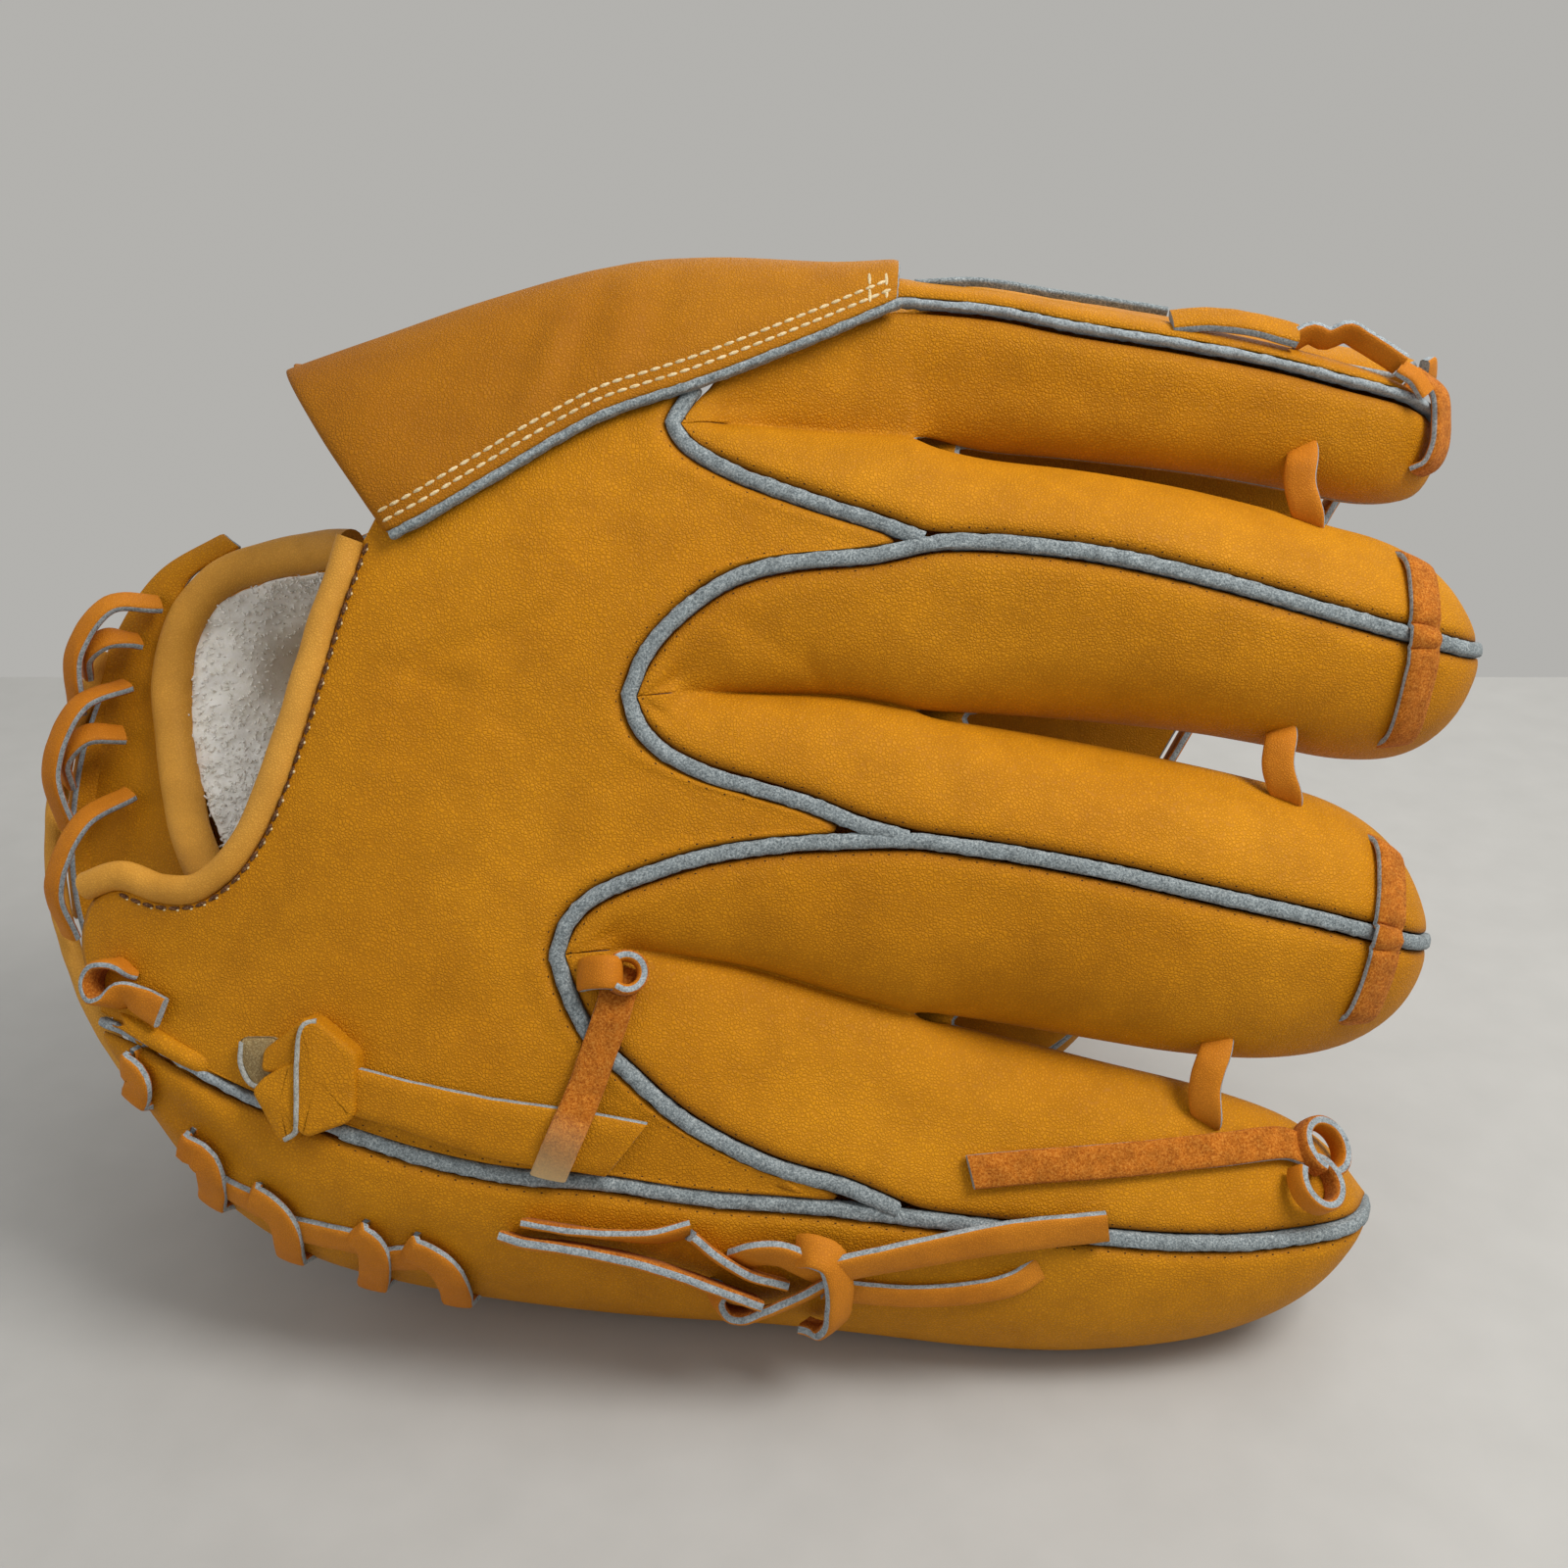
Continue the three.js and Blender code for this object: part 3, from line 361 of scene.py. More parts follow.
SEAM_ROOTS: dict[str, dict[str, Rows]] = {
    "index_middle": {
        "upper": [(-22, 190), (-20, 194), (-16, 199), (-2, 206), (12, 212), (24, 217)],
        "lower": [(-22, 190), (-19, 185.5), (-10, 180), (0, 176), (10, 172.5), (18, 170), (27, 166.5)],
        "crease": [(-20.4, 190, 0.3), (-16, 190.6, 1.2), (-11, 191, 5), (0, 191, 10), (14, 190.5, 13),
                   (26, 190, 13)],
    },
    "middle_ring": {
        "upper": [(-30, 136), (-28, 142), (-24, 148), (-15, 156), (-7, 160), (2, 162), (18, 163.5),
                  (27, 165.5)],
        "lower": [(-30, 136), (-28, 130), (-23, 125), (-15, 121), (-5, 118), (5, 115), (15, 111),
                  (26, 108)],
        "crease": [(-28.4, 136, 0.3), (-23, 136.6, 0.9), (-18, 137, 4.5), (-4, 137, 10.5), (12, 136.5, 13),
                   (26, 134, 13)],
    },
    "ring_little": {
        "upper": [(-44, 86), (-42, 92), (-37, 97), (-25, 102), (-15, 105), (-2, 107), (15, 108), (26, 108)],
        "lower": [(-44, 86), (-42, 79), (-38, 71), (-29, 62), (-20, 54), (-10, 48), (0, 43.5), (12, 40),
                  (25, 34)],
        "crease": [(-42.4, 86, 0.3), (-36, 86.6, 1.2), (-30, 86.4, 5), (-8, 82.6, 10.5), (12, 76.6, 13),
                   (26, 72.8, 13)],
    },
}

# Each finger from the gap to its tip, in the columns u, v. The crest is its seam, the sides are its outline.
FINGERS: dict[str, dict[str, Rows]] = {
    "index": {
        "crest": [(24, 217), (43, 215), (58, 211.5), (78, 208), (99, 204.5), (115, 201), (130, 198),
                  (140.5, 195)],
        "upper": [(24, 225), (51, 222), (82, 215.5), (106, 211), (129.5, 204), (138.5, 199)],
        "lower": [(26, 191), (40, 188.5), (59, 186.5), (86, 183.5), (107, 180.5), (124, 178.5), (136, 181),
                  (141.5, 188)],
        "tip": [(143.5, 194)],
    },
    "middle": {
        "crest": [(27, 166), (39, 166), (59, 164), (83, 159), (107, 153), (124.5, 149), (139, 146.5)],
        "upper": [(26, 189), (40, 186.5), (61, 183.8), (81, 180.5), (95, 177.5), (113, 173.5), (126, 170.5),
                  (138, 164), (144.5, 156)],
        "lower": [(26, 133.5), (50, 132.5), (82, 129.5), (98, 127), (116, 124), (131, 125), (141, 131),
                  (146.5, 139)],
        "tip": [(148.5, 147)],
    },
    "ring": {
        "crest": [(26, 108), (41, 106), (63, 102), (85, 97), (103, 93), (115, 90), (127.5, 87)],
        "upper": [(26, 133), (51, 129.5), (75, 125), (98, 120), (114, 115.5), (126, 108), (132.7, 98)],
        "lower": [(26, 73.2), (40, 70.4), (61, 66.8), (81, 63.5), (101.5, 62), (117.5, 64.5), (128.5, 71),
                  (133.7, 78)],
        "tip": [(135.7, 86)],
    },
    "little": {
        "crest": [(25, 33.5), (44, 31), (62, 29.5), (77, 28), (95, 27.5), (115.5, 29)],
        "upper": [(26, 72), (38, 69.2), (65, 62.4), (87, 56.6), (106, 49), (118, 39.5)],
        "tip": [(124, 30)],
    },
}

LITTLE_CREST_HEEL: Rows = [(-138, 71), (-128, 68), (-118, 63), (-106, 57.5), (-86, 51), (-70, 46),
                           (-54, 42.5), (-36, 41), (-14, 37.5), (5, 36), (25, 33.5)]
LITTLE_EDGE: Rows = [(-139, 62.5, 38), (-134, 51, 40), (-127, 39.5, 41), (-117, 28, 43), (-102.5, 18, 45),
                     (-81, 11, 47), (-42, 5, 47), (0, 3, 42), (40, -0.5, 38), (63, -1, 37), (90, 2, 38),
                     (107.5, 9, 39), (119, 19, 38)]
WRIST_EDGE: Rows = [(-82, 166), (-88, 148.5), (-93, 132.5), (-98, 119), (-103, 108), (-109, 100.5),
                    (-116, 96), (-125, 95.5), (-134, 98), (-141, 96), (-144, 88), (-142, 79), (-138, 73)]
PANEL_TOP: Rows = [(-80, 171), (-66, 183), (-48, 194), (-32, 202), (-22, 202), (-18.5, 200)]

# The hood over the index finger, in the columns lower edge, ridge and rear edge, a row for each section.
HOOD: Sequence[tuple[Rows, ...]] = [
    ((-76, 167.4, 1.2), (-103, 206, 31), (-101, 198, 46)),
    ((-69, 171, 0.6), (-84, 212, 29), (-84, 203, 45)),
    ((-57, 178.6, 2.2), (-61, 219.5, 27.5), (-62, 212, 43)),
    ((-36, 191.4, 5.2), (-33, 227, 27.5), (-34, 220, 41)),
    ((-16, 199, 8.2), (-14, 228.5, 28), (-14, 223, 39)),
    ((8, 209.3, 11.7), (10, 227.5, 28), (10, 225, 36)),
    ((23, 216.4, 14.6), (24, 227.6, 26), (24, 227.6, 33)),
]

POCKET_ARCH: Rows = [(224, 40), (230.5, 54), (219, 78), (182, 97), (146, 103), (114, 103)]
HEEL_EDGE: Rows = [(-110, 25, 51), (-130, 43, 48), (-147, 66, 46), (-158, 97, 47), (-156, 128, 48),
                   (-148, 147, 50), (-136, 157, 57), (-127, 160, 69), (-124, 150, 83), (-124, 120, 93),
                   (-120, 80, 98), (-105, 42, 99)]

# The thumb, in the columns u, top seam, belly and edge on the table, a row for each section.
THUMB: Sequence[tuple[float, Sequence[float], Sequence[float], Sequence[float]]] = [
    (-125, (165, 70), (107, 105), (43, 103.5)),
    (-106, (174, 66), (108, 114), (37, 104)),
    (-70, (188, 66), (112, 124), (34, 105)),
    (-30, (203, 72), (115, 128), (33, 105)),
    (2, (202, 96), (108, 130), (33, 105)),
    (22, (160, 110), (92, 130), (33, 105)),
    (40, (117, 111), (80, 129), (34, 105)),
    (60, (114, 112), (79, 127), (40, 106)),
    (76, (105, 112.5), (79, 123), (52, 108)),
    (86, (95, 112.5), (80, 118), (65, 110)),
]
THUMB_TIP = (92, 81, 113)
THUMB_FRONT: Sequence[tuple[float, Sequence[float], Sequence[float]]] = [
    (38, (114, 103), (42, 98)), (58, (112, 104), (46, 99)), (74, (104, 105), (55, 101)),
    (84, (94, 105), (67, 103)), (88, (86, 105.4), (75.5, 104.8)), (90.4, (81.6, 106), (80.4, 106)),
]
WEB_MOUTH: Rows = [(131, 205.5, 39), (142, 211.5, 50), (138, 203, 72), (123, 170, 93), (103, 136, 103),
                   (83, 100, 105.5)]
WEB_LOW: Rows = [(38.9, 117, 104), (60, 116, 104.5), (75, 108, 105.5), (83, 100, 105.5)]
HEEL_ROLL: Rows = [(-90, 168, 26), (-100, 168.5, 34), (-112, 167.5, 40), (-124, 163, 43), (-131.5, 154, 44),
                   (-134, 142, 44), (-133, 129, 42), (-129, 117, 37), (-123, 106, 28)]
HEEL_LINING: dict[str, Rows] = {
    "inner": [(-120, 171, 45), (-133, 163, 46), (-138.5, 152, 46), (-139, 138, 45.5), (-137.5, 125, 43),
              (-134, 113, 38)],
    "outer": [(-124, 175, 47), (-139, 166, 47), (-149, 152, 48), (-156, 136, 50), (-160.5, 121, 52),
              (-162, 106, 52)],
}
FLEECE: dict[str, Rows] = {
    "front": [(-94, 163, 33), (-109, 162, 42), (-121, 157, 46), (-127, 148, 47), (-127, 135, 46),
              (-123, 122, 42), (-116, 110, 34), (-112, 103, 30)],
    "rear": [(-62, 162, 44), (-64, 155, 46), (-68, 147, 47), (-72, 138, 47), (-76, 129, 46), (-82, 120, 44),
             (-90, 110, 40), (-94, 103, 37)],
}


class Finish(Enum):
    """The finishes that a face of the glove can have."""

    SHELL = "shell_leather"
    BINDING = "binding_leather"
    LACE = "lace_leather"
    NAP = "lace_nap"
    SPLIT = "split_leather"
    CUT = "cut_edge"
    WELT = "welt_suede"
    WOOL = "fleece"
    CREAM_THREAD = "cream_thread"
    BROWN_THREAD = "brown_thread"
    # The near-black of painted shade inside stitch holes.
    HOLE_SHADE = "stitch_hole_shade"


class NodeSet:
    """A small helper that adds nodes to a tree and joins them."""

    def __init__(self, tree: bpy.types.NodeTree) -> None:
        """Keeps the tree that nodes go in."""
        self.tree = tree

    def add(self, kind: str, **values: object) -> bpy.types.Node:
        """Adds a node of a kind and feeds it."""
        return self.feed(self.tree.nodes.new(kind), **values)

    def feed(self, node: bpy.types.Node, **values: object) -> bpy.types.Node:
        """Sets a node's options and inputs.

        Args:
            node: the node.
            values: options by name, or inputs by number or by label, with underscores for spaces. An
                output of another node is joined to the input.

        Returns:
            The same node.
        """
        for key, value in values.items():
            label = key.replace("_", " ").strip()
            if not label.isdigit() and label not in node.inputs.keys():
                setattr(node, key, value)
                continue
            target = node.inputs[int(label) if label.isdigit() else label]
            if isinstance(value, bpy.types.NodeSocket):
                self.tree.links.new(value, target)
            else:
                target.default_value = value
        return node

    def ramp(self, source: bpy.types.NodeSocket,
             stops: Sequence[tuple[float, Sequence[float]]]) -> bpy.types.NodeSocket:
        """Adds a colour ramp fed by a value.

        Args:
            source: the value.
            stops: the ramp's places and colours.

        Returns:
            The ramp's colour.
        """
        node = self.add("ShaderNodeValToRGB", Fac=source)
        elements = node.color_ramp.elements
        while len(elements) < len(stops):
            elements.new(0.5)
        for element, (place, colour) in zip(elements, stops):
            element.position = place
            element.color = (*colour, 1.0)
        return node.outputs["Color"]

    def mix(self, share: object, below: object, above: object, blend: str = "MIX") -> bpy.types.NodeSocket:
        """Lays one colour over another.

        Args:
            share: how much of the upper colour there is, a value or an output.
            below: the lower colour.
            above: the upper colour.
            blend: how they are mixed.

        Returns:
            The mixed colour.
        """
        node = self.add("ShaderNodeMix", data_type="RGBA", blend_type=blend, Factor=share, A=below, B=above)
        return node.outputs["Result"]

    def times(self, source: bpy.types.NodeSocket, factor: float) -> bpy.types.NodeSocket:
        """Multiplies a value by a number."""
        return self.add("ShaderNodeMath", operation="MULTIPLY", _0=source, _1=factor).outputs["Value"]


def new_group(name: str, takes: dict[str, str],
              gives: Sequence[str]) -> tuple[NodeSet, bpy.types.Node, bpy.types.Node]:
    """Starts a node group.

    Args:
        name: its name.
        takes: its inputs and the kind of each.
        gives: its outputs, which are numbers.

    Returns:
        The helper for its tree, its entry and its exit.
    """
    tree = bpy.data.node_groups.new(name, "ShaderNodeTree")
    for label, kind in takes.items():
        tree.interface.new_socket(label, in_out="INPUT", socket_type=f"NodeSocket{kind}")
    for label in gives:
        tree.interface.new_socket(label, in_out="OUTPUT", socket_type="NodeSocketFloat")
    kit = NodeSet(tree)
    return kit, kit.add("NodeGroupInput"), kit.add("NodeGroupOutput")


@cache
def pebble_group() -> bpy.types.NodeTree:
    """The fine pebble grain of a hide, with its wrinkles, as a height and a mask of its valleys.

    Returns:
        The node group, built once.
    """
    kit, entry, leave = new_group("pebble_grain", {"Place": "Vector", "Size": "Float"}, ("Height", "Valley"))
    place = entry.outputs["Place"]
    warp = kit.add("ShaderNodeTexNoise", Vector=place, Scale=420.0, Detail=2.0)
    bend = kit.add("ShaderNodeVectorMath", operation="MULTIPLY_ADD", _0=warp.outputs["Color"],
                   _1=(0.0011, 0.0011, 0.0011), _2=place)
    cells = kit.add("ShaderNodeTexVoronoi", feature="DISTANCE_TO_EDGE", Vector=bend.outputs["Vector"],
                    Scale=entry.outputs["Size"])
    dome = kit.add("ShaderNodeMapRange", interpolation_type="SMOOTHSTEP", From_Max=0.28,
                   Value=cells.outputs["Distance"]).outputs["Result"]
    wrinkle = kit.add("ShaderNodeTexNoise", Vector=place, Scale=170.0, Detail=6.0, Roughness=0.62,
                      Distortion=0.6)
    total = kit.add("ShaderNodeMath", operation="MULTIPLY_ADD", _0=wrinkle.outputs["Fac"], _1=1.6, _2=dome)
    valley = kit.add("ShaderNodeMath", operation="SUBTRACT", _0=1.0, _1=dome)
    kit.feed(leave, Height=total.outputs["Value"], Valley=valley.outputs["Value"])
    return kit.tree


@cache
def mottle_group() -> bpy.types.NodeTree:
    """The broad and fine colour changes of dyed leather as two masks, with faint scratches.

    Returns:
        The node group, built once.
    """
    kit, entry, leave = new_group("hide_mottle", {"Place": "Vector"}, ("Broad", "Fine", "Scratch"))
    place = entry.outputs["Place"]
    broad = kit.add("ShaderNodeTexNoise", Vector=place, Scale=17.0, Detail=3.0, Roughness=0.5)
    fine = kit.add("ShaderNodeTexNoise", Vector=place, Scale=110.0, Detail=5.0, Roughness=0.6)
    stretch = kit.add("ShaderNodeMapping", Vector=place, Rotation=(0.3, 0.5, 0.7), Scale=(60.0, 900.0, 240.0))
    streaks = kit.add("ShaderNodeTexNoise", Vector=stretch.outputs["Vector"], Scale=1.0, Detail=1.0)
    rare = kit.add("ShaderNodeMapRange", interpolation_type="SMOOTHSTEP", From_Min=0.72, From_Max=0.78,
                   Value=streaks.outputs["Fac"])
    kit.feed(leave, Broad=broad.outputs["Fac"], Fine=fine.outputs["Fac"], Scratch=rare.outputs["Result"])
    return kit.tree


def new_material(
        name: str) -> tuple[bpy.types.Material, NodeSet, bpy.types.Node, bpy.types.NodeSocket]:
    """Starts a material.

    Args:
        name: its name.

    Returns:
        The material, the helper for its tree, its shader and the place on the piece.
    """
    material = bpy.data.materials.new(name)
    material.use_nodes = True
    kit = NodeSet(material.node_tree)
    shader = material.node_tree.nodes["Principled BSDF"]
    return material, kit, shader, kit.add("ShaderNodeTexCoord").outputs["Object"]


@dataclass(frozen=True)
class Leather:
    """Dyed leather with a pebble grain, with painted shade where it rolls into a seam and over the hood."""

    finish: Finish
    base: tuple[float, float, float]
    light: tuple[float, float, float]
    deep: tuple[float, float, float]
    grain: float = 1500.0
    relief: float = 0.00022
    strength: float = 0.55
    roughness: float = 0.5
    rubbed: float = 0.62
    pores: float = 0.3
    scratches: float = 0.16

    def make(self) -> bpy.types.Material:
        """Builds the material."""
        material, kit, shader, place = new_material(self.finish.value)
        mottle = kit.add("ShaderNodeGroup", node_tree=mottle_group(), Place=place).outputs
        pebble = kit.add("ShaderNodeGroup", node_tree=pebble_group(), Place=place, Size=self.grain).outputs
        broad = kit.ramp(mottle["Broad"], [(0.34, self.base), (0.66, self.light)])
        shade = kit.ramp(mottle["Fine"], [(0.3, (0.74, 0.72, 0.68)), (0.62, (1.04, 1.04, 1.04))])
        # The "seam" attribute paints shade: it darkens the leather towards its deep tone in seam creases and over the
        # hood.
        sewn = kit.add("ShaderNodeAttribute", attribute_name="seam").outputs["Fac"]
        tone = kit.mix(0.55, broad, shade, "MULTIPLY")
        tone = kit.mix(kit.times(pebble["Valley"], self.pores), tone, (*self.deep, 1.0))
        tone = kit.mix(sewn, tone, (*self.deep, 1.0))
        tone = kit.mix(kit.times(mottle["Scratch"], self.scratches), tone, (*self.light, 1.0))
        gloss = kit.add("ShaderNodeMapRange", To_Min=self.roughness, To_Max=self.rubbed, Value=mottle["Fine"])
        bump = kit.add("ShaderNodeBump", Strength=self.strength, Distance=self.relief,
                       Height=pebble["Height"])
        kit.feed(shader, Base_Color=tone, Roughness=gloss.outputs["Result"], Normal=bump.outputs["Normal"],
                 Specular_IOR_Level=0.13)
        return material


# The cream that suede fades to where its "pale" attribute is set. On the fleece it is the colour of painted shade in
# the hollow.
CREAM_SUEDE = (0.66, 0.52, 0.28, 1.0)


@dataclass(frozen=True)
class Suede:
    """Split leather or a cut edge: matt, fibrous and speckled."""

    finish: Finish
    base: tuple[float, float, float]
    dark: tuple[float, float, float]
    pale: tuple[float, float, float]
    fibre: float = 2300.0
    cloudy: float = 0.74
    roughness: float = 0.95

    def make(self) -> bpy.types.Material:
        """Builds the material."""
        material, kit, shader, place = new_material(self.finish.value)
        speck = kit.add("ShaderNodeTexNoise", Vector=place, Scale=self.fibre, Detail=4.0,
                        Roughness=0.75).outputs["Fac"]
        patch = kit.add("ShaderNodeTexNoise", Vector=place, Scale=self.fibre * 0.16, Detail=3.0,
                        Roughness=0.6).outputs["Fac"]
        fleck = kit.ramp(speck, [(0.34, self.dark), (0.5, self.base), (0.68, self.pale)])
        cloud = kit.ramp(patch, [(0.35, (self.cloudy,) * 3), (0.65, (1.08, 1.08, 1.08))])
        # The "pale" attribute fades suede towards cream. On the fleece it paints shade in the hollow.
        fade_and_painted_shade = kit.add("ShaderNodeAttribute", attribute_name="pale").outputs["Fac"]
        tone = kit.mix(fade_and_painted_shade, kit.mix(0.8, fleck, cloud, "MULTIPLY"), CREAM_SUEDE)
        bump = kit.add("ShaderNodeBump", Strength=0.7, Distance=0.0003, Height=speck)
        kit.feed(shader, Base_Color=tone, Normal=bump.outputs["Normal"], Roughness=self.roughness,
                 Specular_IOR_Level=0.2, Sheen_Weight=0.04)
        return material


FINISHES: Sequence[Leather | Suede] = (
    # deep: the tone of the grain's valleys, and of the painted shade in seam creases and over the hood.
    Leather(Finish.SHELL, base=(0.55, 0.215, 0.003), light=(0.63, 0.262, 0.006), deep=(0.22, 0.062, 0.002)),
    Leather(Finish.BINDING, base=(0.66, 0.31, 0.04), light=(0.74, 0.37, 0.06), deep=(0.36, 0.13, 0.01),
            grain=1900.0, relief=0.0001, roughness=0.42, rubbed=0.52),
    Leather(Finish.LACE, base=(0.58, 0.185, 0.008), light=(0.66, 0.245, 0.018), deep=(0.27, 0.065, 0.002),
            grain=2100.0, relief=0.00012, roughness=0.5, rubbed=0.62),
    Suede(Finish.NAP, base=(0.49, 0.145, 0.009), dark=(0.26, 0.058, 0.003), pale=(0.68, 0.28, 0.045)),
    Suede(Finish.SPLIT, base=(0.2, 0.115, 0.03), dark=(0.08, 0.045, 0.013), pale=(0.44, 0.36, 0.19)),
    Suede(Finish.CUT, base=(0.33, 0.38, 0.41), dark=(0.15, 0.17, 0.19), pale=(0.52, 0.57, 0.60)),
    Suede(Finish.WELT, base=(0.24, 0.28, 0.30), dark=(0.10, 0.12, 0.13), pale=(0.52, 0.57, 0.58)),
    Suede(Finish.WOOL, base=(0.93, 0.92, 0.88), dark=(0.88, 0.87, 0.80), pale=(0.96, 0.95, 0.93), fibre=700.0,
          cloudy=0.93),
    Suede(Finish.CREAM_THREAD, base=(0.78, 0.62, 0.34), dark=(0.55, 0.38, 0.16), pale=(0.88, 0.78, 0.55),
          roughness=0.7),
    Suede(Finish.BROWN_THREAD, base=(0.11, 0.04, 0.012), dark=(0.05, 0.018, 0.006), pale=(0.36, 0.2, 0.09),
          roughness=0.7),
    # Painted shade of the stitch holes.
    Suede(Finish.HOLE_SHADE, base=(0.05, 0.02, 0.006), dark=(0.02, 0.008, 0.003), pale=(0.12, 0.05, 0.015)),
)


@cache
def material_of(finish: Finish) -> bpy.types.Material:
    """The material of a finish, made on first use."""
    return next(look for look in FINISHES if look.finish is finish).make()


def keep_piece(name: str, bm: bmesh.types.BMesh, finishes: Sequence[Finish], nodes: Sequence[str]) -> bpy.types.Object:
    """Turns a finished bmesh into a piece that rides on the glove.

    Args:
        name: the piece's name.
        bm: its shape, which is freed.
        finishes: its materials, in the order of its faces' material numbers.
        nodes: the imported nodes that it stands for.

    Returns:
        The piece.
    """
    mesh = bpy.data.meshes.new(name)
    for face in bm.faces:
        face.smooth = True
    bm.to_mesh(mesh)
    bm.free()
    piece = bpy.data.objects.new(name, mesh)
    bpy.context.scene.collection.objects.link(piece)
    for finish in finishes:
        mesh.materials.append(material_of(finish))
    if nodes:
        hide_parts(*nodes)
    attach(piece, "root")
    LOG.info("%s: %d faces", name, len(mesh.polygons))
    return piece


def sharpen(bm: bmesh.types.BMesh, degrees: float = 42.0) -> None:
    """Marks the edges that stay crisp under smooth shading."""
    limit = math.radians(degrees)
    for edge in bm.edges:
        if len(edge.link_faces) == 2 and edge.calc_face_angle(0.0) > limit:
            edge.smooth = False


class Sheet:
    """Leather laid out as grids of places that are welded where they meet."""

    weld = 0.00001

    def __init__(self) -> None:
        """Starts an empty sheet."""
        self.bm = bmesh.new()
        # The "seam" layer holds painted shade: how far each place is darkened towards the leather's deep tone.
        self.seam = self.bm.verts.layers.float.new("seam")
        self.first_faces: list[bmesh.types.BMFace] = []

    def lay(self, grid: Grid, sewn: Callable[[int, int], float] | None = None) -> "Sheet":
        """Lays one grid of leather.

        Args:
            grid: rows of places in the glove frame.
            sewn: how much painted shade a place takes, as in a seam crease or over the hood, from 0 to 1, by its row
                and column.

        Returns:
            The same sheet.
        """
        rows, columns = len(grid) - 1, len(grid[0]) - 1
        start = len(self.bm.faces)
        made = bmesh.ops.create_grid(self.bm, x_segments=rows, y_segments=columns, size=1.0)
        for vert in made["verts"]:
            i = round((vert.co.x + 1) / 2 * rows)
            j = round((vert.co.y + 1) / 2 * columns)
            vert.co = FRAME.stand(grid[i][j])
            vert[self.seam] = sewn(i, j) if sewn else 0.0
        if not self.first_faces:
            self.bm.faces.ensure_lookup_table()
            self.first_faces = self.bm.faces[start:]
        return self

    def face(self, inward: Vector) -> "Sheet":
        """Welds the grids and turns the faces away from the inside.

        Args:
            inward: the direction of the inside, in the glove frame.

        Returns:
            The same sheet.
        """
        self.bm.normal_update()
        goal = FRAME.turned(inward)
        mean = sum((face.normal * face.calc_area() for face in self.first_faces), Vector())
        bmesh.ops.remove_doubles(self.bm, verts=self.bm.verts, dist=self.weld)
        if mean.dot(goal) > 0:
            bmesh.ops.reverse_faces(self.bm, faces=self.bm.faces)
        self.bm.normal_update()
        return self

    def finish(self, name: str, thickness: float, nodes: Sequence[str], skin: Finish = Finish.SHELL,
               rim: Finish = Finish.CUT, inner: Finish | None = None, level: int = 1) -> bpy.types.Object:
        """Gives the sheet its thickness and makes it a piece.

        Args:
            name: the piece's name.
            thickness: the leather's thickness in millimetres.
            nodes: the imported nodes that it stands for.
            skin: the finish of its outer face.
            rim: the finish of its cut edge.
            inner: the finish of its inner face, if another.
            level: how often the surface is smoothed.

        Returns:
            The piece.
        """
        piece = keep_piece(name, self.bm, [skin, rim, inner or skin], nodes)
        wall = piece.modifiers.new("wall", "SOLIDIFY")
        wall.thickness = thickness * MM
        wall.offset = -1.0
        wall.use_even_offset = False
        wall.material_offset_rim = 1
        wall.material_offset = 2
        smooth = piece.modifiers.new("smooth", "SUBSURF")
        smooth.levels = level
        smooth.render_levels = level
        return piece


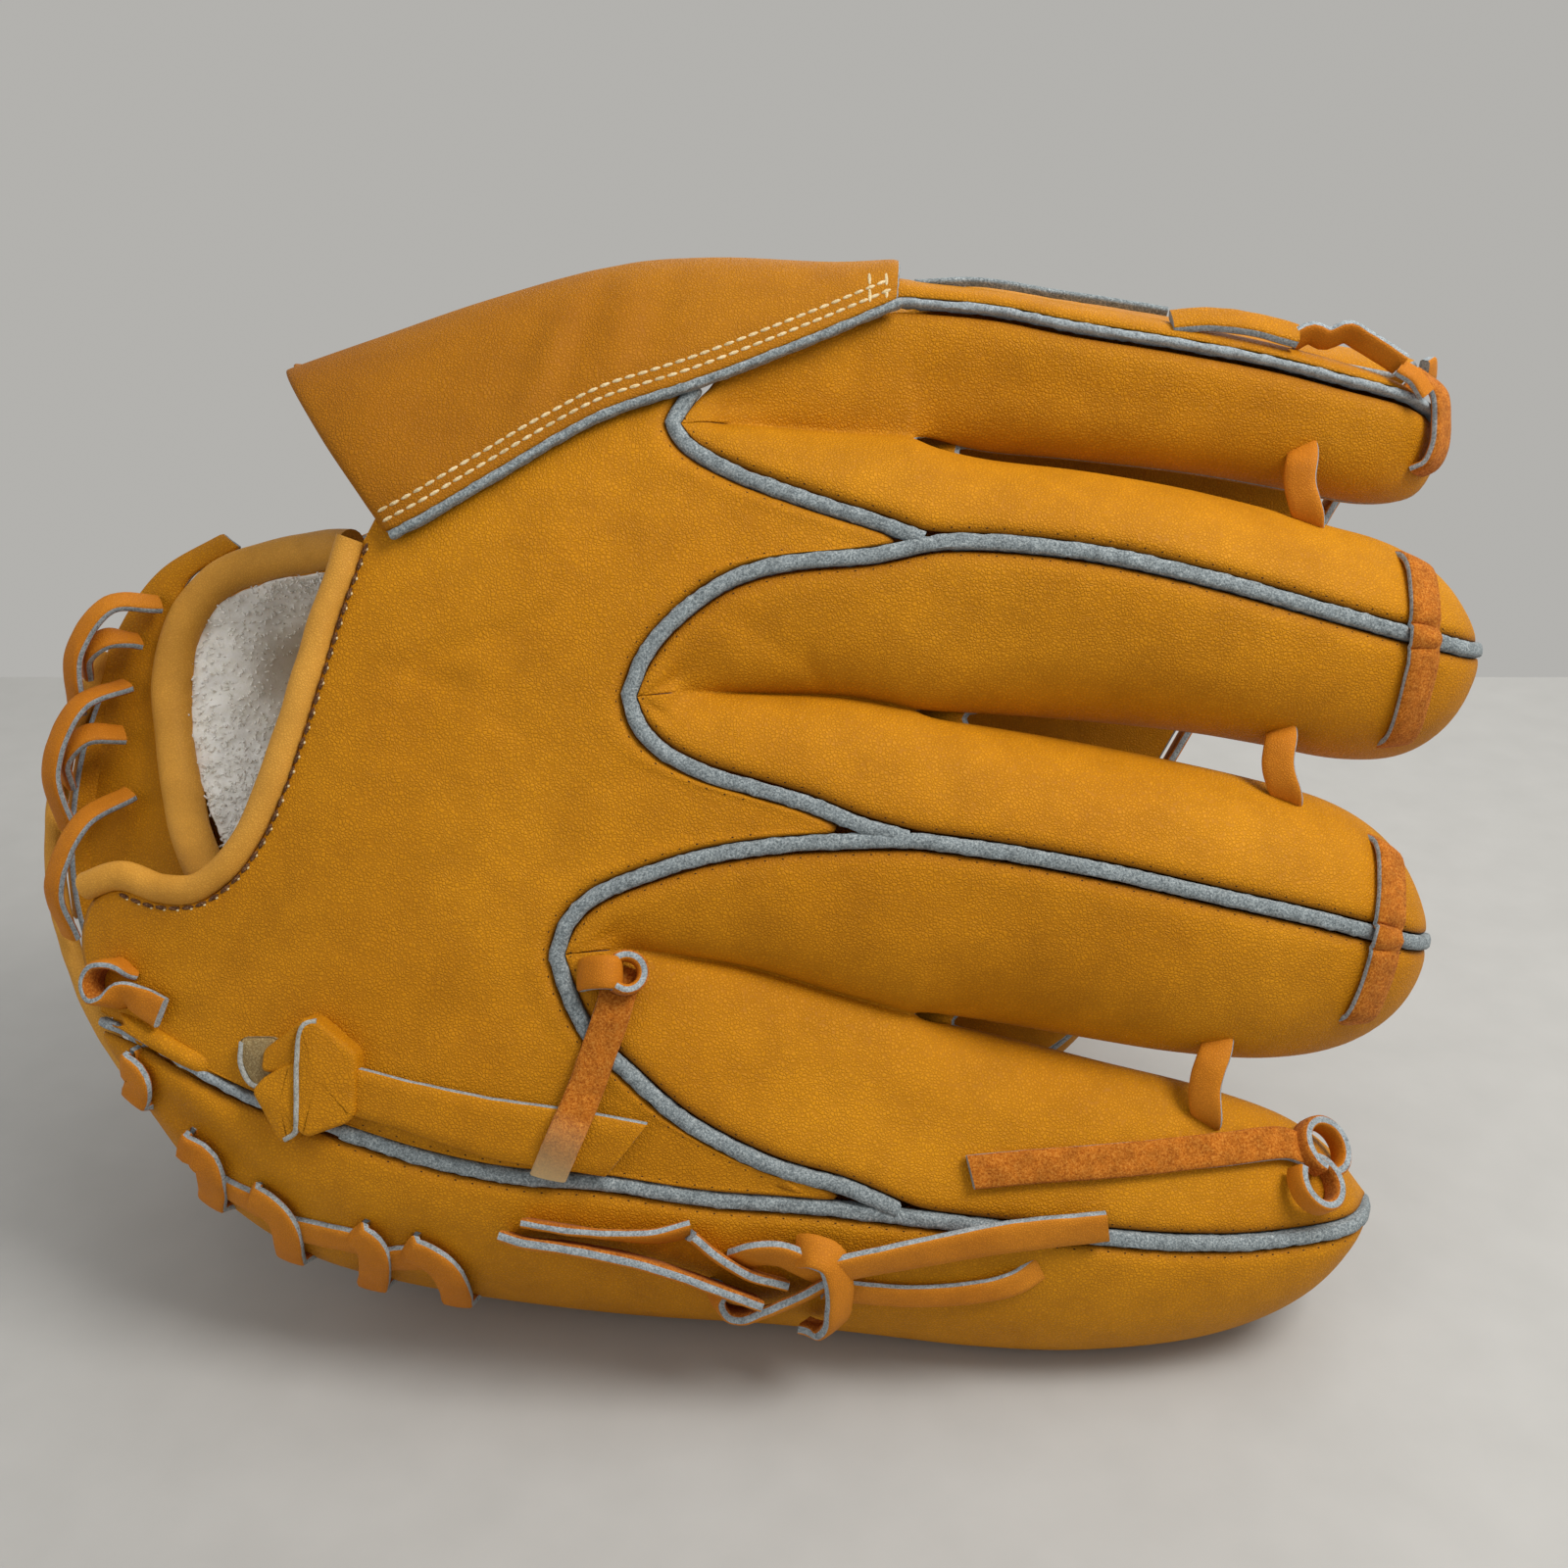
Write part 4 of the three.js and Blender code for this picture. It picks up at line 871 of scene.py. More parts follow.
@dataclass
class Shell:
    """The leather panels of the fingers, the hand, the thumb, the web and the hood."""

    leather: float = 2.0
    web_leather: float = 2.6
    web_seam: float = 0.3
    back_of_finger: float = 20
    crotch_depth: float = 13
    front_bulge: float = 8
    seam_gap: float = 0.3
    tip_rounding: float = 17
    panel_to_welt: float = 1.55
    crotch_u: float = 26
    stall_u: float = 38
    root_steps: int = 30
    finger_steps: int = 33
    round_steps: int = 8
    heel_share: float = 0.56
    palm_fullness: float = 15
    thumb_hollow: float = 3
    web_fullness: float = 4
    hidden: float = 1.8
    hood_rows: tuple[float, float] = (2.4, 4.5)
    seams: dict[str, dict[str, list[Vector]]] = field(default_factory=dict)
    crests: dict[str, list[Vector]] = field(default_factory=dict)
    sides: dict[str, dict[str, list[Vector]]] = field(default_factory=dict)
    pieces: list[bpy.types.Object] = field(default_factory=list)

    def __post_init__(self) -> None:
        """Works out the lines that panels share, so that neighbours meet along the same places."""
        for name, root in SEAM_ROOTS.items():
            self.seams[name] = {part: on_back(rows).spaced(self.root_steps) for part, rows in root.items()}
        for name, finger in FINGERS.items():
            self.crests[name] = self.crest_line(finger).spaced(self.finger_steps)
            self.sides[name] = {
                part: self.side_line(finger, finger[part], aside).spaced(self.finger_steps)
                for part, aside in (("upper", self.panel_to_welt), ("lower", -self.panel_to_welt))
                if part in finger
            }
        self.heel_crest = on_back(LITTLE_CREST_HEEL).spaced(36)
        tip = FINGERS["little"]["tip"][0]
        end = Vector((tip[0], tip[1] - self.panel_to_welt, BACK.depth(*tip) + self.back_of_finger))
        self.little_edge = [*Course(LITTLE_EDGE).spaced(66), end]

    def crest_line(self, finger: dict[str, Rows]) -> Course:
        """The crest of a finger, sinking round its tip to the depth of its sides."""
        tip_u, tip_v = finger["tip"][0]
        rows = []
        for u, v in [*finger["crest"], finger["tip"][0]]:
            near = min(max((u - (tip_u - self.tip_rounding)) / self.tip_rounding, 0), 1)
            sunk = self.back_of_finger * (1 - math.sqrt(1 - near * near))
            rows.append((u, v, BACK.depth(u, v) + sunk))
        shoulder = (tip_u - 1.2, tip_v + 0.4, BACK.depth(tip_u, tip_v) + self.back_of_finger * 0.62)
        rows.insert(-1, shoulder)
        return Course(rows)

    def side_line(self, finger: dict[str, Rows], rows: Rows, aside: float) -> Course:
        """The side of a finger, from the gap between fingers to its tip.

        Args:
            finger: the finger's table.
            rows: the side's places.
            aside: how far its end is set off the crest's end.

        Returns:
            The side as a course.
        """
        deep = []
        for u, v in rows:
            opened = min(max((u - rows[0][0]) / (self.stall_u - self.crotch_u), 0), 1)
            sunk = self.crotch_depth + (self.back_of_finger - self.crotch_depth) * opened
            deep.append((u, v, BACK.depth(u, v) + sunk))
        tip_u, tip_v = finger["tip"][0]
        deep.append((tip_u, tip_v + aside, BACK.depth(tip_u, tip_v) + self.back_of_finger))
        return Course(deep)

    def turned_under(self, place: Vector) -> Vector:
        """The little-finger edge a little way under, where the palm leather meets it."""
        near = min(max((place.x - 98) / 26, 0), 1)
        fade = 1 - near * near * (3 - 2 * near)
        return Vector((place.x, place.y + 4 * fade, place.z + 5 * fade))

    def under_edge(self, start: float, end: float, count: int) -> list[Vector]:
        """The edge turned under, from one place along the glove to another."""
        return Course([self.turned_under(p) for p in self.little_edge if start < p.x < end]).spaced(count)

    def relieved(self, grid: Grid, weight: float = 1.0) -> Grid:
        """Adds the folds of the back to a grid."""
        for row in grid:
            for place in row:
                place.z += weight * BACK.relief(place)
        return grid

    def build(self) -> None:
        """Builds every panel."""
        self.pieces = [
            self.back_panel(), self.index_outer_panel(),
            self.gusset("index_middle", "index", "middle"),
            self.gusset("middle_ring", "middle", "ring"),
            self.gusset("ring_little", "ring", "little"),
            self.little_outer_panel(), self.palm_panel(), self.thumb_back_panel(), self.web_panel(),
            self.finger_hood(), self.hood_edge(),
        ]

    def gusset(self, seam: str, above: str, below: str) -> bpy.types.Object:
        """The leather between two fingers, from the crest of one down the gap and up to the other's.

        Args:
            seam: the seam's name.
            above: the finger above the gap.
            below: the finger below it.

        Returns:
            The piece.
        """
        lines = self.seams[seam]
        crest_above = beside(lines["upper"] + self.crests[above][1:], -self.panel_to_welt)
        if above == "index":
            crest_above = self.under_hood(lines["upper"] + self.crests[above][1:])
        crest_below = beside(lines["lower"] + self.crests[below][1:], self.panel_to_welt)
        side_above = lines["crease"] + self.sides[above]["lower"][1:]
        side_below = lines["crease"] + self.sides[below]["upper"][1:]
        sheet = Sheet()
        for crests, sides, flipped in ((crest_above, side_above, False), (crest_below, side_below, True)):
            grid = []
            for crest, side in zip(crests, sides):
                shares = crowded((side - crest).length, self.round_steps)
                deep = min(max((side.z - crest.z - 1) / 8, 0), 1)
                full = rounded(crest, side, shares)
                flat = (crest.lerp(side, share) for share in shares)
                row = roll_row([level.lerp(place, deep) for level, place in zip(flat, full)])
                grid.append(row[::-1] if flipped else row)
            last = len(grid[0]) - 1
            sheet.lay(self.relieved(grid), self.seam_shade_at_edge(last if flipped else 0))
        sheet.face(TOWARDS_PALM)
        return sheet.finish(f"{seam}_fingers_leather", self.leather, [f"{seam}_gusset"])

    def under_hood(self, places: list[Vector]) -> list[Vector]:
        """The upper edge of the index finger's leather, which runs on under the hood at its root."""
        below, above = beside(places, -self.panel_to_welt), beside(places, self.hidden)
        edge = []
        for i, place in enumerate(below):
            covered = min(max((i - 6) / 4, 0), 1) * min(max((self.root_steps - i) / 6, 0), 1)
            edge.append(place.lerp(above[i] + Vector((0, 0, 0.8)), covered))
        return edge

    @staticmethod
    def seam_shade_at_edge(edge: int) -> Callable[[int, int], float]:
        """Paints shade on the columns beside a sewn edge, darkest at the edge, where the seam crease lies."""
        shades = {0: 0.9, 1: 0.55, 2: 0.22}
        return lambda i, j: shades.get(abs(j - edge), 0.0)

    def back_panel(self) -> bpy.types.Object:
        """The back panel, which fans out from the wrist edge to the seams at the finger roots."""
        gap = self.panel_to_welt

        def upto(places: list[Vector], limit: float) -> list[Vector]:
            """The places that lie before a limit along the glove."""
            return [p for p in places if p.x <= limit]

        first, second, third = (self.seams[n] for n in ("index_middle", "middle_ring", "ring_little"))
        stretches = [
            (0.015, 1.0, on_back(PANEL_TOP).spaced(14)),
            (0.03, 1.0, upto(beside(first["upper"], gap), -19.5)[::-1]),
            (0.045, 1.0, upto(beside(first["lower"], -gap), 22.5)[1:]),
            (0.27, 2.3, upto(beside(second["upper"], gap), 22.5)[::-1]),
            (0.37, 1.0, upto(beside(second["lower"], -gap), 12)[1:]),
            (0.5, 1.4, upto(beside(third["upper"], gap), 12)[::-1]),
            (0.95, 1.2, upto(beside(third["lower"], -gap), 12)[1:]),
            (1.0, 1.0, upto(beside(self.heel_crest, gap), 12)[::-1]),
        ]
        wrist = on_back(WRIST_EDGE)
        steps = 22
        grid: Grid = []
        start = 0.0
        for end, late, places in stretches:
            for i, far in enumerate(places):
                share = i / (len(places) - 1) if start == 0 else (i + 1) / len(places)
                near = wrist.at(start + (end - start) * share ** late)
                row = []
                for k in range(steps + 1):
                    t = 1 - (1 - k / steps) ** 1.7
                    place = near.lerp(far, t)
                    place.z = BACK.depth(place.x, place.y)
                    row.append(place)
                grid.append(roll_row(row[::-1], 0.0 if start == 0 else 1.0)[::-1])
            start = end
        sheet = Sheet().lay(self.relieved(grid), self.seam_shade_at_edge(steps)).face(TOWARDS_PALM)
        return sheet.finish("back_leather", self.leather, ["back_panel"], rim=Finish.SHELL)

    def index_outer_panel(self) -> bpy.types.Object:
        """The outer side of the index finger, from its crest over to the web."""
        root = Course([(-8, 209, 15), (8, 213, 16.5), (24, 217, 17.8)]).spaced(9)
        crest = beside(root + self.crests["index"][1:], 1.0)
        upper = Course([(-8, 218, 27), (8, 222, 30), (24, 225, 32)]).spaced(9)
        upper += self.sides["index"]["upper"][1:]
        grid = [roll_row(rounded(p, q, crowded((q - p).length, self.round_steps)), 0.35)
                for p, q in zip(crest, upper)]
        sheet = Sheet().lay(self.relieved(grid, 0.6)).face(TOWARDS_PALM)
        return sheet.finish("index_outer_leather", self.leather, ["index_outer_panel"])

    def little_outer_panel(self) -> bpy.types.Object:
        """The outer side of the little finger and the edge of the hand, down to the table and under."""
        crest = beside(self.heel_crest + self.crests["little"][1:], -self.panel_to_welt)
        edge = Course([tuple(p) for p in self.little_edge]).spaced(len(crest) - 1)
        grid = []
        for p, q in zip(crest, edge):
            row = roll_row(rounded(p, q, crowded((q - p).length, 12)))
            grid.append([*row, q.lerp(self.turned_under(q), 0.5), self.turned_under(q)])
        folds = [Fold(*row) for row in (
            (-110, 44, -38, 30, 3.2, 2.6), (-104, 34, -33, 26, 3.4, 2.0), (-108, 39, -35, 28, 2.8, -1.8),
            (-96, 48, -30, 18, 2.6, 1.2), (-78, 30, -20, 22, 4.0, 1.1), (40, 16, -4, 40, 5.0, 0.6),
        )]
        for row in grid:
            for place in row:
                place.z += sum(fold.depth_at(place.x, place.y) for fold in folds)
        sheet = Sheet().lay(self.relieved(grid, 0.7), self.seam_shade_at_edge(0)).face(TOWARDS_PALM)
        return sheet.finish("little_outer_leather", self.leather, ["little_outer_panel"])

    def stall_front(self, lower: list[Vector], upper: list[Vector], steps: int) -> Grid:
        """The front of one finger stall, from its lower seam to its upper seam."""
        grid = []
        for low, high in zip(lower, upper):
            width = (high - low).length
            row = []
            for k in range(steps + 1):
                across = math.sin((-1 + 2 * k / steps) * math.pi / 2)
                place = low.lerp(high, 0.5 + 0.5 * across)
                swell = min(self.front_bulge, 0.5 * width) * math.sqrt(max(0.0, 1 - across * across))
                place.z += self.seam_gap + swell
                row.append(place)
            grid.append(row)
        return grid

    def palm_panel(self) -> bpy.types.Object:
        """The palm leather: the fronts of the fingers, the pocket and the front of the thumb."""
        across, skip, rows = 10, self.finger_steps // 11, 24
        little_low = self.under_edge(28, self.little_edge[-1].x + 1, self.finger_steps - skip)
        stalls = [self.stall_front(little_low, self.sides["little"]["upper"][skip:], across)]
        for name in ("ring", "middle", "index"):
            side = self.sides[name]
            stalls.append(self.stall_front(side["lower"][skip:], side["upper"][skip:], across))
        arch = Course([(self.stall_u, v, w) for v, w in POCKET_ARCH]).spaced(18)[1:]
        thumb = []
        fronts = Course([(u, *high) for u, high, low in THUMB_FRONT])
        backs = Course([(u, *low) for u, high, low in THUMB_FRONT])
        for t in even(14):
            high, low = fronts.bare(t), backs.bare(t)
            row = []
            for share in even(10):
                place = high.lerp(low, share)
                place.z -= self.thumb_hollow * math.sin(math.pi * share) * (1 - t ** 3)
                row.append(place)
            thumb.append(row)
        hand = [place for stall in stalls for place in stall[0]]
        first_row = [*hand, *arch, *thumb[0][1:]]
        count = len(hand)
        heel = Course(HEEL_EDGE)
        palm: Grid = []
        for i in range(rows + 1):
            t = i / rows
            row = []
            for k, front in enumerate(first_row):
                share = (self.heel_share * k / (count - 1) if k < count else
                         self.heel_share + (1 - self.heel_share) * (k - count + 1) / (len(first_row) - count))
                place = heel.at(share).lerp(front, t)
                hand_side = min(max(1 - (k / (count - 1) - 0.75) / 0.3, 0), 1)
                place.z += self.palm_fullness * hand_side * math.sin(math.pi * min(1, 1.15 * t) ** 0.8)
                row.append(place)
            palm.append([p.copy() for p in first_row] if i == rows else row)
        under = self.under_edge(-112, 42, rows)
        for row, edge in zip(palm[:rows], under):
            shift = edge + Vector((0, 0.6, self.seam_gap)) - row[0]
            for k, place in enumerate(row):
                place += shift * max(0.0, 1 - k / (0.3 * (count - 1)))
        sheet = Sheet()
        for grid in (palm, *stalls, thumb):
            sheet.lay(grid)
        sheet.face(TOWARDS_BACK)
        return sheet.finish("palm_leather", self.leather, ["palm_panel"])

    def thumb_back_panel(self) -> bpy.types.Object:
        """The back of the thumb, from the web round to the edge on the table."""
        rows = []
        fronts, backs = (Course([(row[0], *row[k]) for row in THUMB_FRONT]).spaced(40) for k in (1, 2))
        for u, top, belly, bottom in THUMB:
            high, middle, low = (Vector((u, *pair)) for pair in (top, belly, bottom))
            row = rounded(middle, high, even(10))[::-1] + rounded(middle, low, even(10))[1:]
            folded = min(max((u - 24) / 16, 0.03), 1)
            over, under = high + TOWARDS_BACK * 8, low + TOWARDS_BACK * 8
            if u > 24:
                over, under = (min(line, key=lambda place: abs(place.x - u)) for line in (fronts, backs))
            rows.append([high.lerp(over + Vector((0, 0.6, 0.4)), folded), *row,
                         low.lerp(under + Vector((0, -0.6, 0.4)), folded)])
        tip = Vector(THUMB_TIP)
        ends = [tip + Vector((-1.4, 0.8, -6.8)), *([tip] * 21), tip + Vector((-1.4, -0.8, -6.8))]
        curves = [Course([*(row[k] for row in rows), end]) for k, end in enumerate(ends)]
        grid = [[curve.bare(t) for curve in curves] for t in even(44)]
        for row in grid:
            for place in row:
                place.z += 0.8 * noise.noise(place / 34)
        sheet = Sheet().lay(grid).face(TOWARDS_BACK)
        return sheet.finish("thumb_back_leather", self.leather, ["thumb_back_panel"])

    def web_panel(self) -> bpy.types.Object:
        """The closed web between the thumb and the index finger."""
        base = Course([(self.stall_u + self.web_seam, v + 0.2, w + 0.4) for v, w in POCKET_ARCH]).spaced(24)
        mouth = Course(WEB_MOUTH).spaced(24)
        low = Course(WEB_LOW).spaced(21)
        grid = []
        for t, lowest in zip(even(21), low):
            pull = lowest - base[-1].lerp(mouth[-1], t)
            row = []
            for across, foot, edge in zip(even(24), base, mouth):
                place = foot.lerp(edge, t)
                place.z += self.web_fullness * math.sin(math.pi * t) * math.sin(math.pi * across)
                row.append(place + pull * min(1.0, 3 * t) * max(0.0, (across - 0.5) / 0.5))
            grid.append(row)
        sheet = Sheet().lay(grid).face(TOWARDS_PALM)
        return sheet.finish("web_leather", self.web_leather, ["web_panel"])

    def finger_hood(self) -> bpy.types.Object:
        """The hood over the index finger, with two stitched rows along its lower edge."""
        low, ridge, rear = (Course([row[k] for row in HOOD]).spaced(44) for k in range(3))
        folds = [Fold(*row) for row in (
            (-40, 208, 74, 15, 2.4, 1.5), (-46, 205, 68, 13, 2.2, -1.2), (-51, 202, 64, 12, 2.4, 1.1),
            (-32, 209, 80, 12, 2.2, -0.9), (-25, 211, 74, 11, 2.0, 1.0), (-72, 190, 42, 22, 5.0, 1.2),
            (-84, 186, 58, 16, 6.0, -1.6), (2, 219, 30, 16, 3.0, 0.5), (-60, 192, 52, 13, 2.6, 0.8),
        )]
        near = (0.0, 1.0, 1.8, 2.4, 3.0, 3.8, 4.5, 5.2, 6.2, 8.0)
        grid = []
        for i, foot in enumerate(low):
            row = rounded(foot, ridge[i], crowded((ridge[i] - foot).length, 11, near))
            for place in row:
                away = (place - foot).length
                place.z += sum(0.3 * math.exp(-((away - sewn) / 0.7) ** 2) for sewn in self.hood_rows)
                place.z += sum(fold.depth_at(place.x, place.y) for fold in folds)
            grid.append(row + rounded(rear[i], ridge[i], even(7))[::-1][1:])
        lip = [[place + Vector((along, 0, below)) for place in grid[0]]
               for along, below in ((2.6, 4.4), (0.2, 4.0), (-1.0, 2.8), (-1.2, 1.3))]
        # The seam layer paints shade over the whole hood, strongest towards the wrist.
        sheet = Sheet().lay(lip + self.relieved(grid, 0.35), lambda i, j: 0.58 - 0.28 * i / len(grid))
        sheet.face(TOWARDS_PALM)
        return sheet.finish("hood_leather", self.leather, ["finger_hood"])

    @staticmethod
    def hood_edge() -> bpy.types.Object:
        """The thick cut edge along the lower rim of the hood."""
        low = Course([row[0] for row in HOOD])
        seat = [place + Vector((0, 0, 0.9)) for place in beside(low.spaced(round(low.length / 1.2)), -0.6)]
        band = Band(Section.tape(1.7, 2.2), rough=0.25, rough_length=1.8)
        return band_piece("hood_cut_edge", band, [straight(seat)], [Finish.WELT], [])


# Where the photograph is taken from, in the glove frame.
EYE = (0.0, 119.0, -300.0)


class Ground:
    """What lacing and stitches lie on: the leather, and whatever has been laid on it since."""

    start_depth = -60.0
    reach = 0.014

    def __init__(self) -> None:
        """Starts with nothing to lie on."""
        self.trees: list[BVHTree] = []

    def add(self, *pieces: bpy.types.Object) -> None:
        """Adds pieces, as their modifiers leave them."""
        bpy.context.view_layer.update()
        graph = bpy.context.evaluated_depsgraph_get()
        self.trees += [BVHTree.FromObject(piece, graph) for piece in pieces]

    def cast(self, start: Vector, into: Vector) -> tuple[Vector, Vector] | None:
        """Finds the first surface along a ray.

        Args:
            start: where the ray starts.
            into: its direction.

        Returns:
            The place that it hits and the direction that the surface faces, if it hits anything.
        """
        best = None
        for tree in self.trees:
            place, normal, _, distance = tree.ray_cast(start, into)
            if place is not None and (best is None or distance < best[2]):
                best = (place, normal, distance)
        if best is None:
            return None
        facing = best[1] if best[1].dot(into) < 0 else -best[1]
        return best[0], facing

    def under(self, u: float, v: float) -> tuple[Vector, Vector] | None:
        """Finds the surface under a place on the back of the glove."""
        return self.cast(FRAME.upright((u, v, self.start_depth)), FRAME.turned(TOWARDS_PALM))

    def seen(self, u: float, v: float, w: float = 45.0) -> tuple[Vector, Vector] | None:
        """Finds the surface that is seen from the front through a place of the glove frame."""
        eye = FRAME.upright(EYE)
        return self.cast(eye, (FRAME.stand(Vector((u, v, w))) - eye).normalized())

    def rise(self, place: Vector, facing: Vector) -> float:
        """How far the surface stands above a place, measured along a direction."""
        hit = self.cast(place + facing * self.reach, -facing)
        return self.reach - (place + facing * self.reach - hit[0]).length if hit else -self.reach


@dataclass(frozen=True)
class Section:
    """The cross-section of a lace, a welt or a roll: its corners, and the paint of each of its sides."""

    corners: tuple[tuple[float, float], ...]
    paints: tuple[int, ...]

    @staticmethod
    def lace(width: float, thickness: float) -> "Section":
        """A flat lace: paint 0 on its face, 1 on its rough side and 2 on its cut edges."""
        w, t, c = width / 2, thickness / 2, min(0.4, thickness * 0.22)
        corners = ((-w, c - t), (-w, t - c), (c - w, t), (-w / 2, t + 0.14), (0, t + 0.2), (w / 2, t + 0.14),
                   (w - c, t), (w, t - c), (w, c - t), (w - c, -t), (0, -t), (c - w, -t))
        return Section(corners, (2, 0, 0, 0, 0, 0, 0, 2, 1, 1, 1, 1))

    @staticmethod
    def tape(width: float, height: float) -> "Section":
        """A strip of split leather with rounded corners, one paint all round."""
        w, h = width / 2, height / 2
        corners = ((-w, -h), (-w, h * 0.45), (-w * 0.8, h * 0.85), (-w * 0.4, h), (0, h * 1.05), (w * 0.4, h),
                   (w * 0.8, h * 0.85), (w, h * 0.45), (w, -h))
        return Section(corners, (0,) * len(corners))

    @staticmethod
    def roll(width: float, height: float, count: int = 16) -> "Section":
        """A round or oval roll, one paint all round."""
        angles = [2 * math.pi * (k + 0.5) / count for k in range(count)]
        corners = tuple((math.cos(a) * width / 2, math.sin(a) * height / 2) for a in angles)
        return Section(corners, (0,) * count)


@dataclass(frozen=True)
class Stop:
    """A stop on the way of a band: where it is, which way its face turns and how wide it is there."""

    place: Vector
    rise: Vector
    scale: float = 1.0
    roll: float = 0.0
    pale: float = 0.0


@dataclass(frozen=True)
class Band:
    """A section swept along stops, with the small unevenness of cut leather."""

    section: Section
    rough: float = 0.1
    rough_length: float = 3.5
    slant: tuple[float, float] = (0.0, 0.0)
    slant_reach: float = 6.0

    def sweep(self, bm: bmesh.types.BMesh, stops: Sequence[Stop]) -> None:
        """Sweeps the section and closes both ends.

        Args:
            bm: the mesh that it is added to.
            stops: where it goes, in metres on the table.
        """
        rows, columns = len(stops) - 1, len(self.section.corners)
        pale = bm.verts.layers.float.get("pale") or bm.verts.layers.float.new("pale")
        grid = bmesh.ops.create_grid(bm, x_segments=rows, y_segments=columns, size=1.0)["verts"]
        where: dict[bmesh.types.BMVert, tuple[int, int]] = {}
        for vert in grid:
            where[vert] = (round((vert.co.x + 1) / 2 * rows), round((vert.co.y + 1) / 2 * columns))
        faces = list(dict.fromkeys(face for vert in grid for face in vert.link_faces))
        for face in faces:
            face.material_index = self.section.paints[min(where[vert][1] for vert in face.verts)]
        places = [self.ring(stops, i) for i in range(rows + 1)]
        for vert, (i, j) in where.items():
            vert.co = places[i][j % columns]
            vert[pale] = stops[i].pale
        bmesh.ops.remove_doubles(bm, verts=grid, dist=1e-7)
        faces = [face for face in faces if face.is_valid]
        edges = dict.fromkeys(edge for face in faces for edge in face.edges if edge.is_boundary)
        caps = bmesh.ops.holes_fill(bm, edges=list(edges), sides=0)["faces"]
        for cap in caps:
            cap.material_index = self.section.paints[0]
        bmesh.ops.recalc_face_normals(bm, faces=[*faces, *caps])

    def ring(self, stops: Sequence[Stop], i: int) -> list[Vector]:
        """The section's places at one stop."""
        stop = stops[i]
        along = (stops[min(i + 1, len(stops) - 1)].place - stops[max(i - 1, 0)].place).normalized()
        across = along.cross(stop.rise).normalized()
        out = across.cross(along).normalized()
        if stop.roll:
            turn = Matrix.Rotation(math.radians(stop.roll), 3, along)
            across, out = turn @ across, turn @ out
        gone = (stop.place - stops[0].place).length / MM
        left = (stop.place - stops[-1].place).length / MM
        lean = (self.slant[1] * max(0.0, 1 - left / self.slant_reach)
                - self.slant[0] * max(0.0, 1 - gone / self.slant_reach))
        ring = []
        for a, b in self.section.corners:
            place = stop.place + (across * a * stop.scale + out * b + along * a * lean) * MM
            place += noise.noise_vector(place / (self.rough_length * MM)) * self.rough * MM
            ring.append(Vector((place.x, place.y, max(0.0, place.z))))
        return ring


def straight(places: Sequence[Vector], up: Vector = TOWARDS_BACK, scale: float = 1.0) -> list[Stop]:
    """Stops for a band along places of the glove frame, all with the same upward direction."""
    return [Stop(FRAME.stand(place), FRAME.turned(up), scale) for place in places]


def band_piece(name: str, band: Band, runs: Sequence[Sequence[Stop]], finishes: Sequence[Finish],
               nodes: Sequence[str], crisp: float = 50.0) -> bpy.types.Object:
    """Makes one piece of one or several bands.

    Args:
        name: the piece's name.
        band: the band's section.
        runs: the stops of each band.
        finishes: the piece's materials.
        nodes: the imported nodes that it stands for.
        crisp: the angle above which an edge stays crisp.

    Returns:
        The piece.
    """
    bm = bmesh.new()
    for run in runs:
        band.sweep(bm, run)
    sharpen(bm, crisp)
    return keep_piece(name, bm, finishes, nodes)


LACE_FINISHES = (Finish.LACE, Finish.NAP, Finish.CUT)
NAP_FINISHES = (Finish.NAP, Finish.LACE, Finish.CUT)


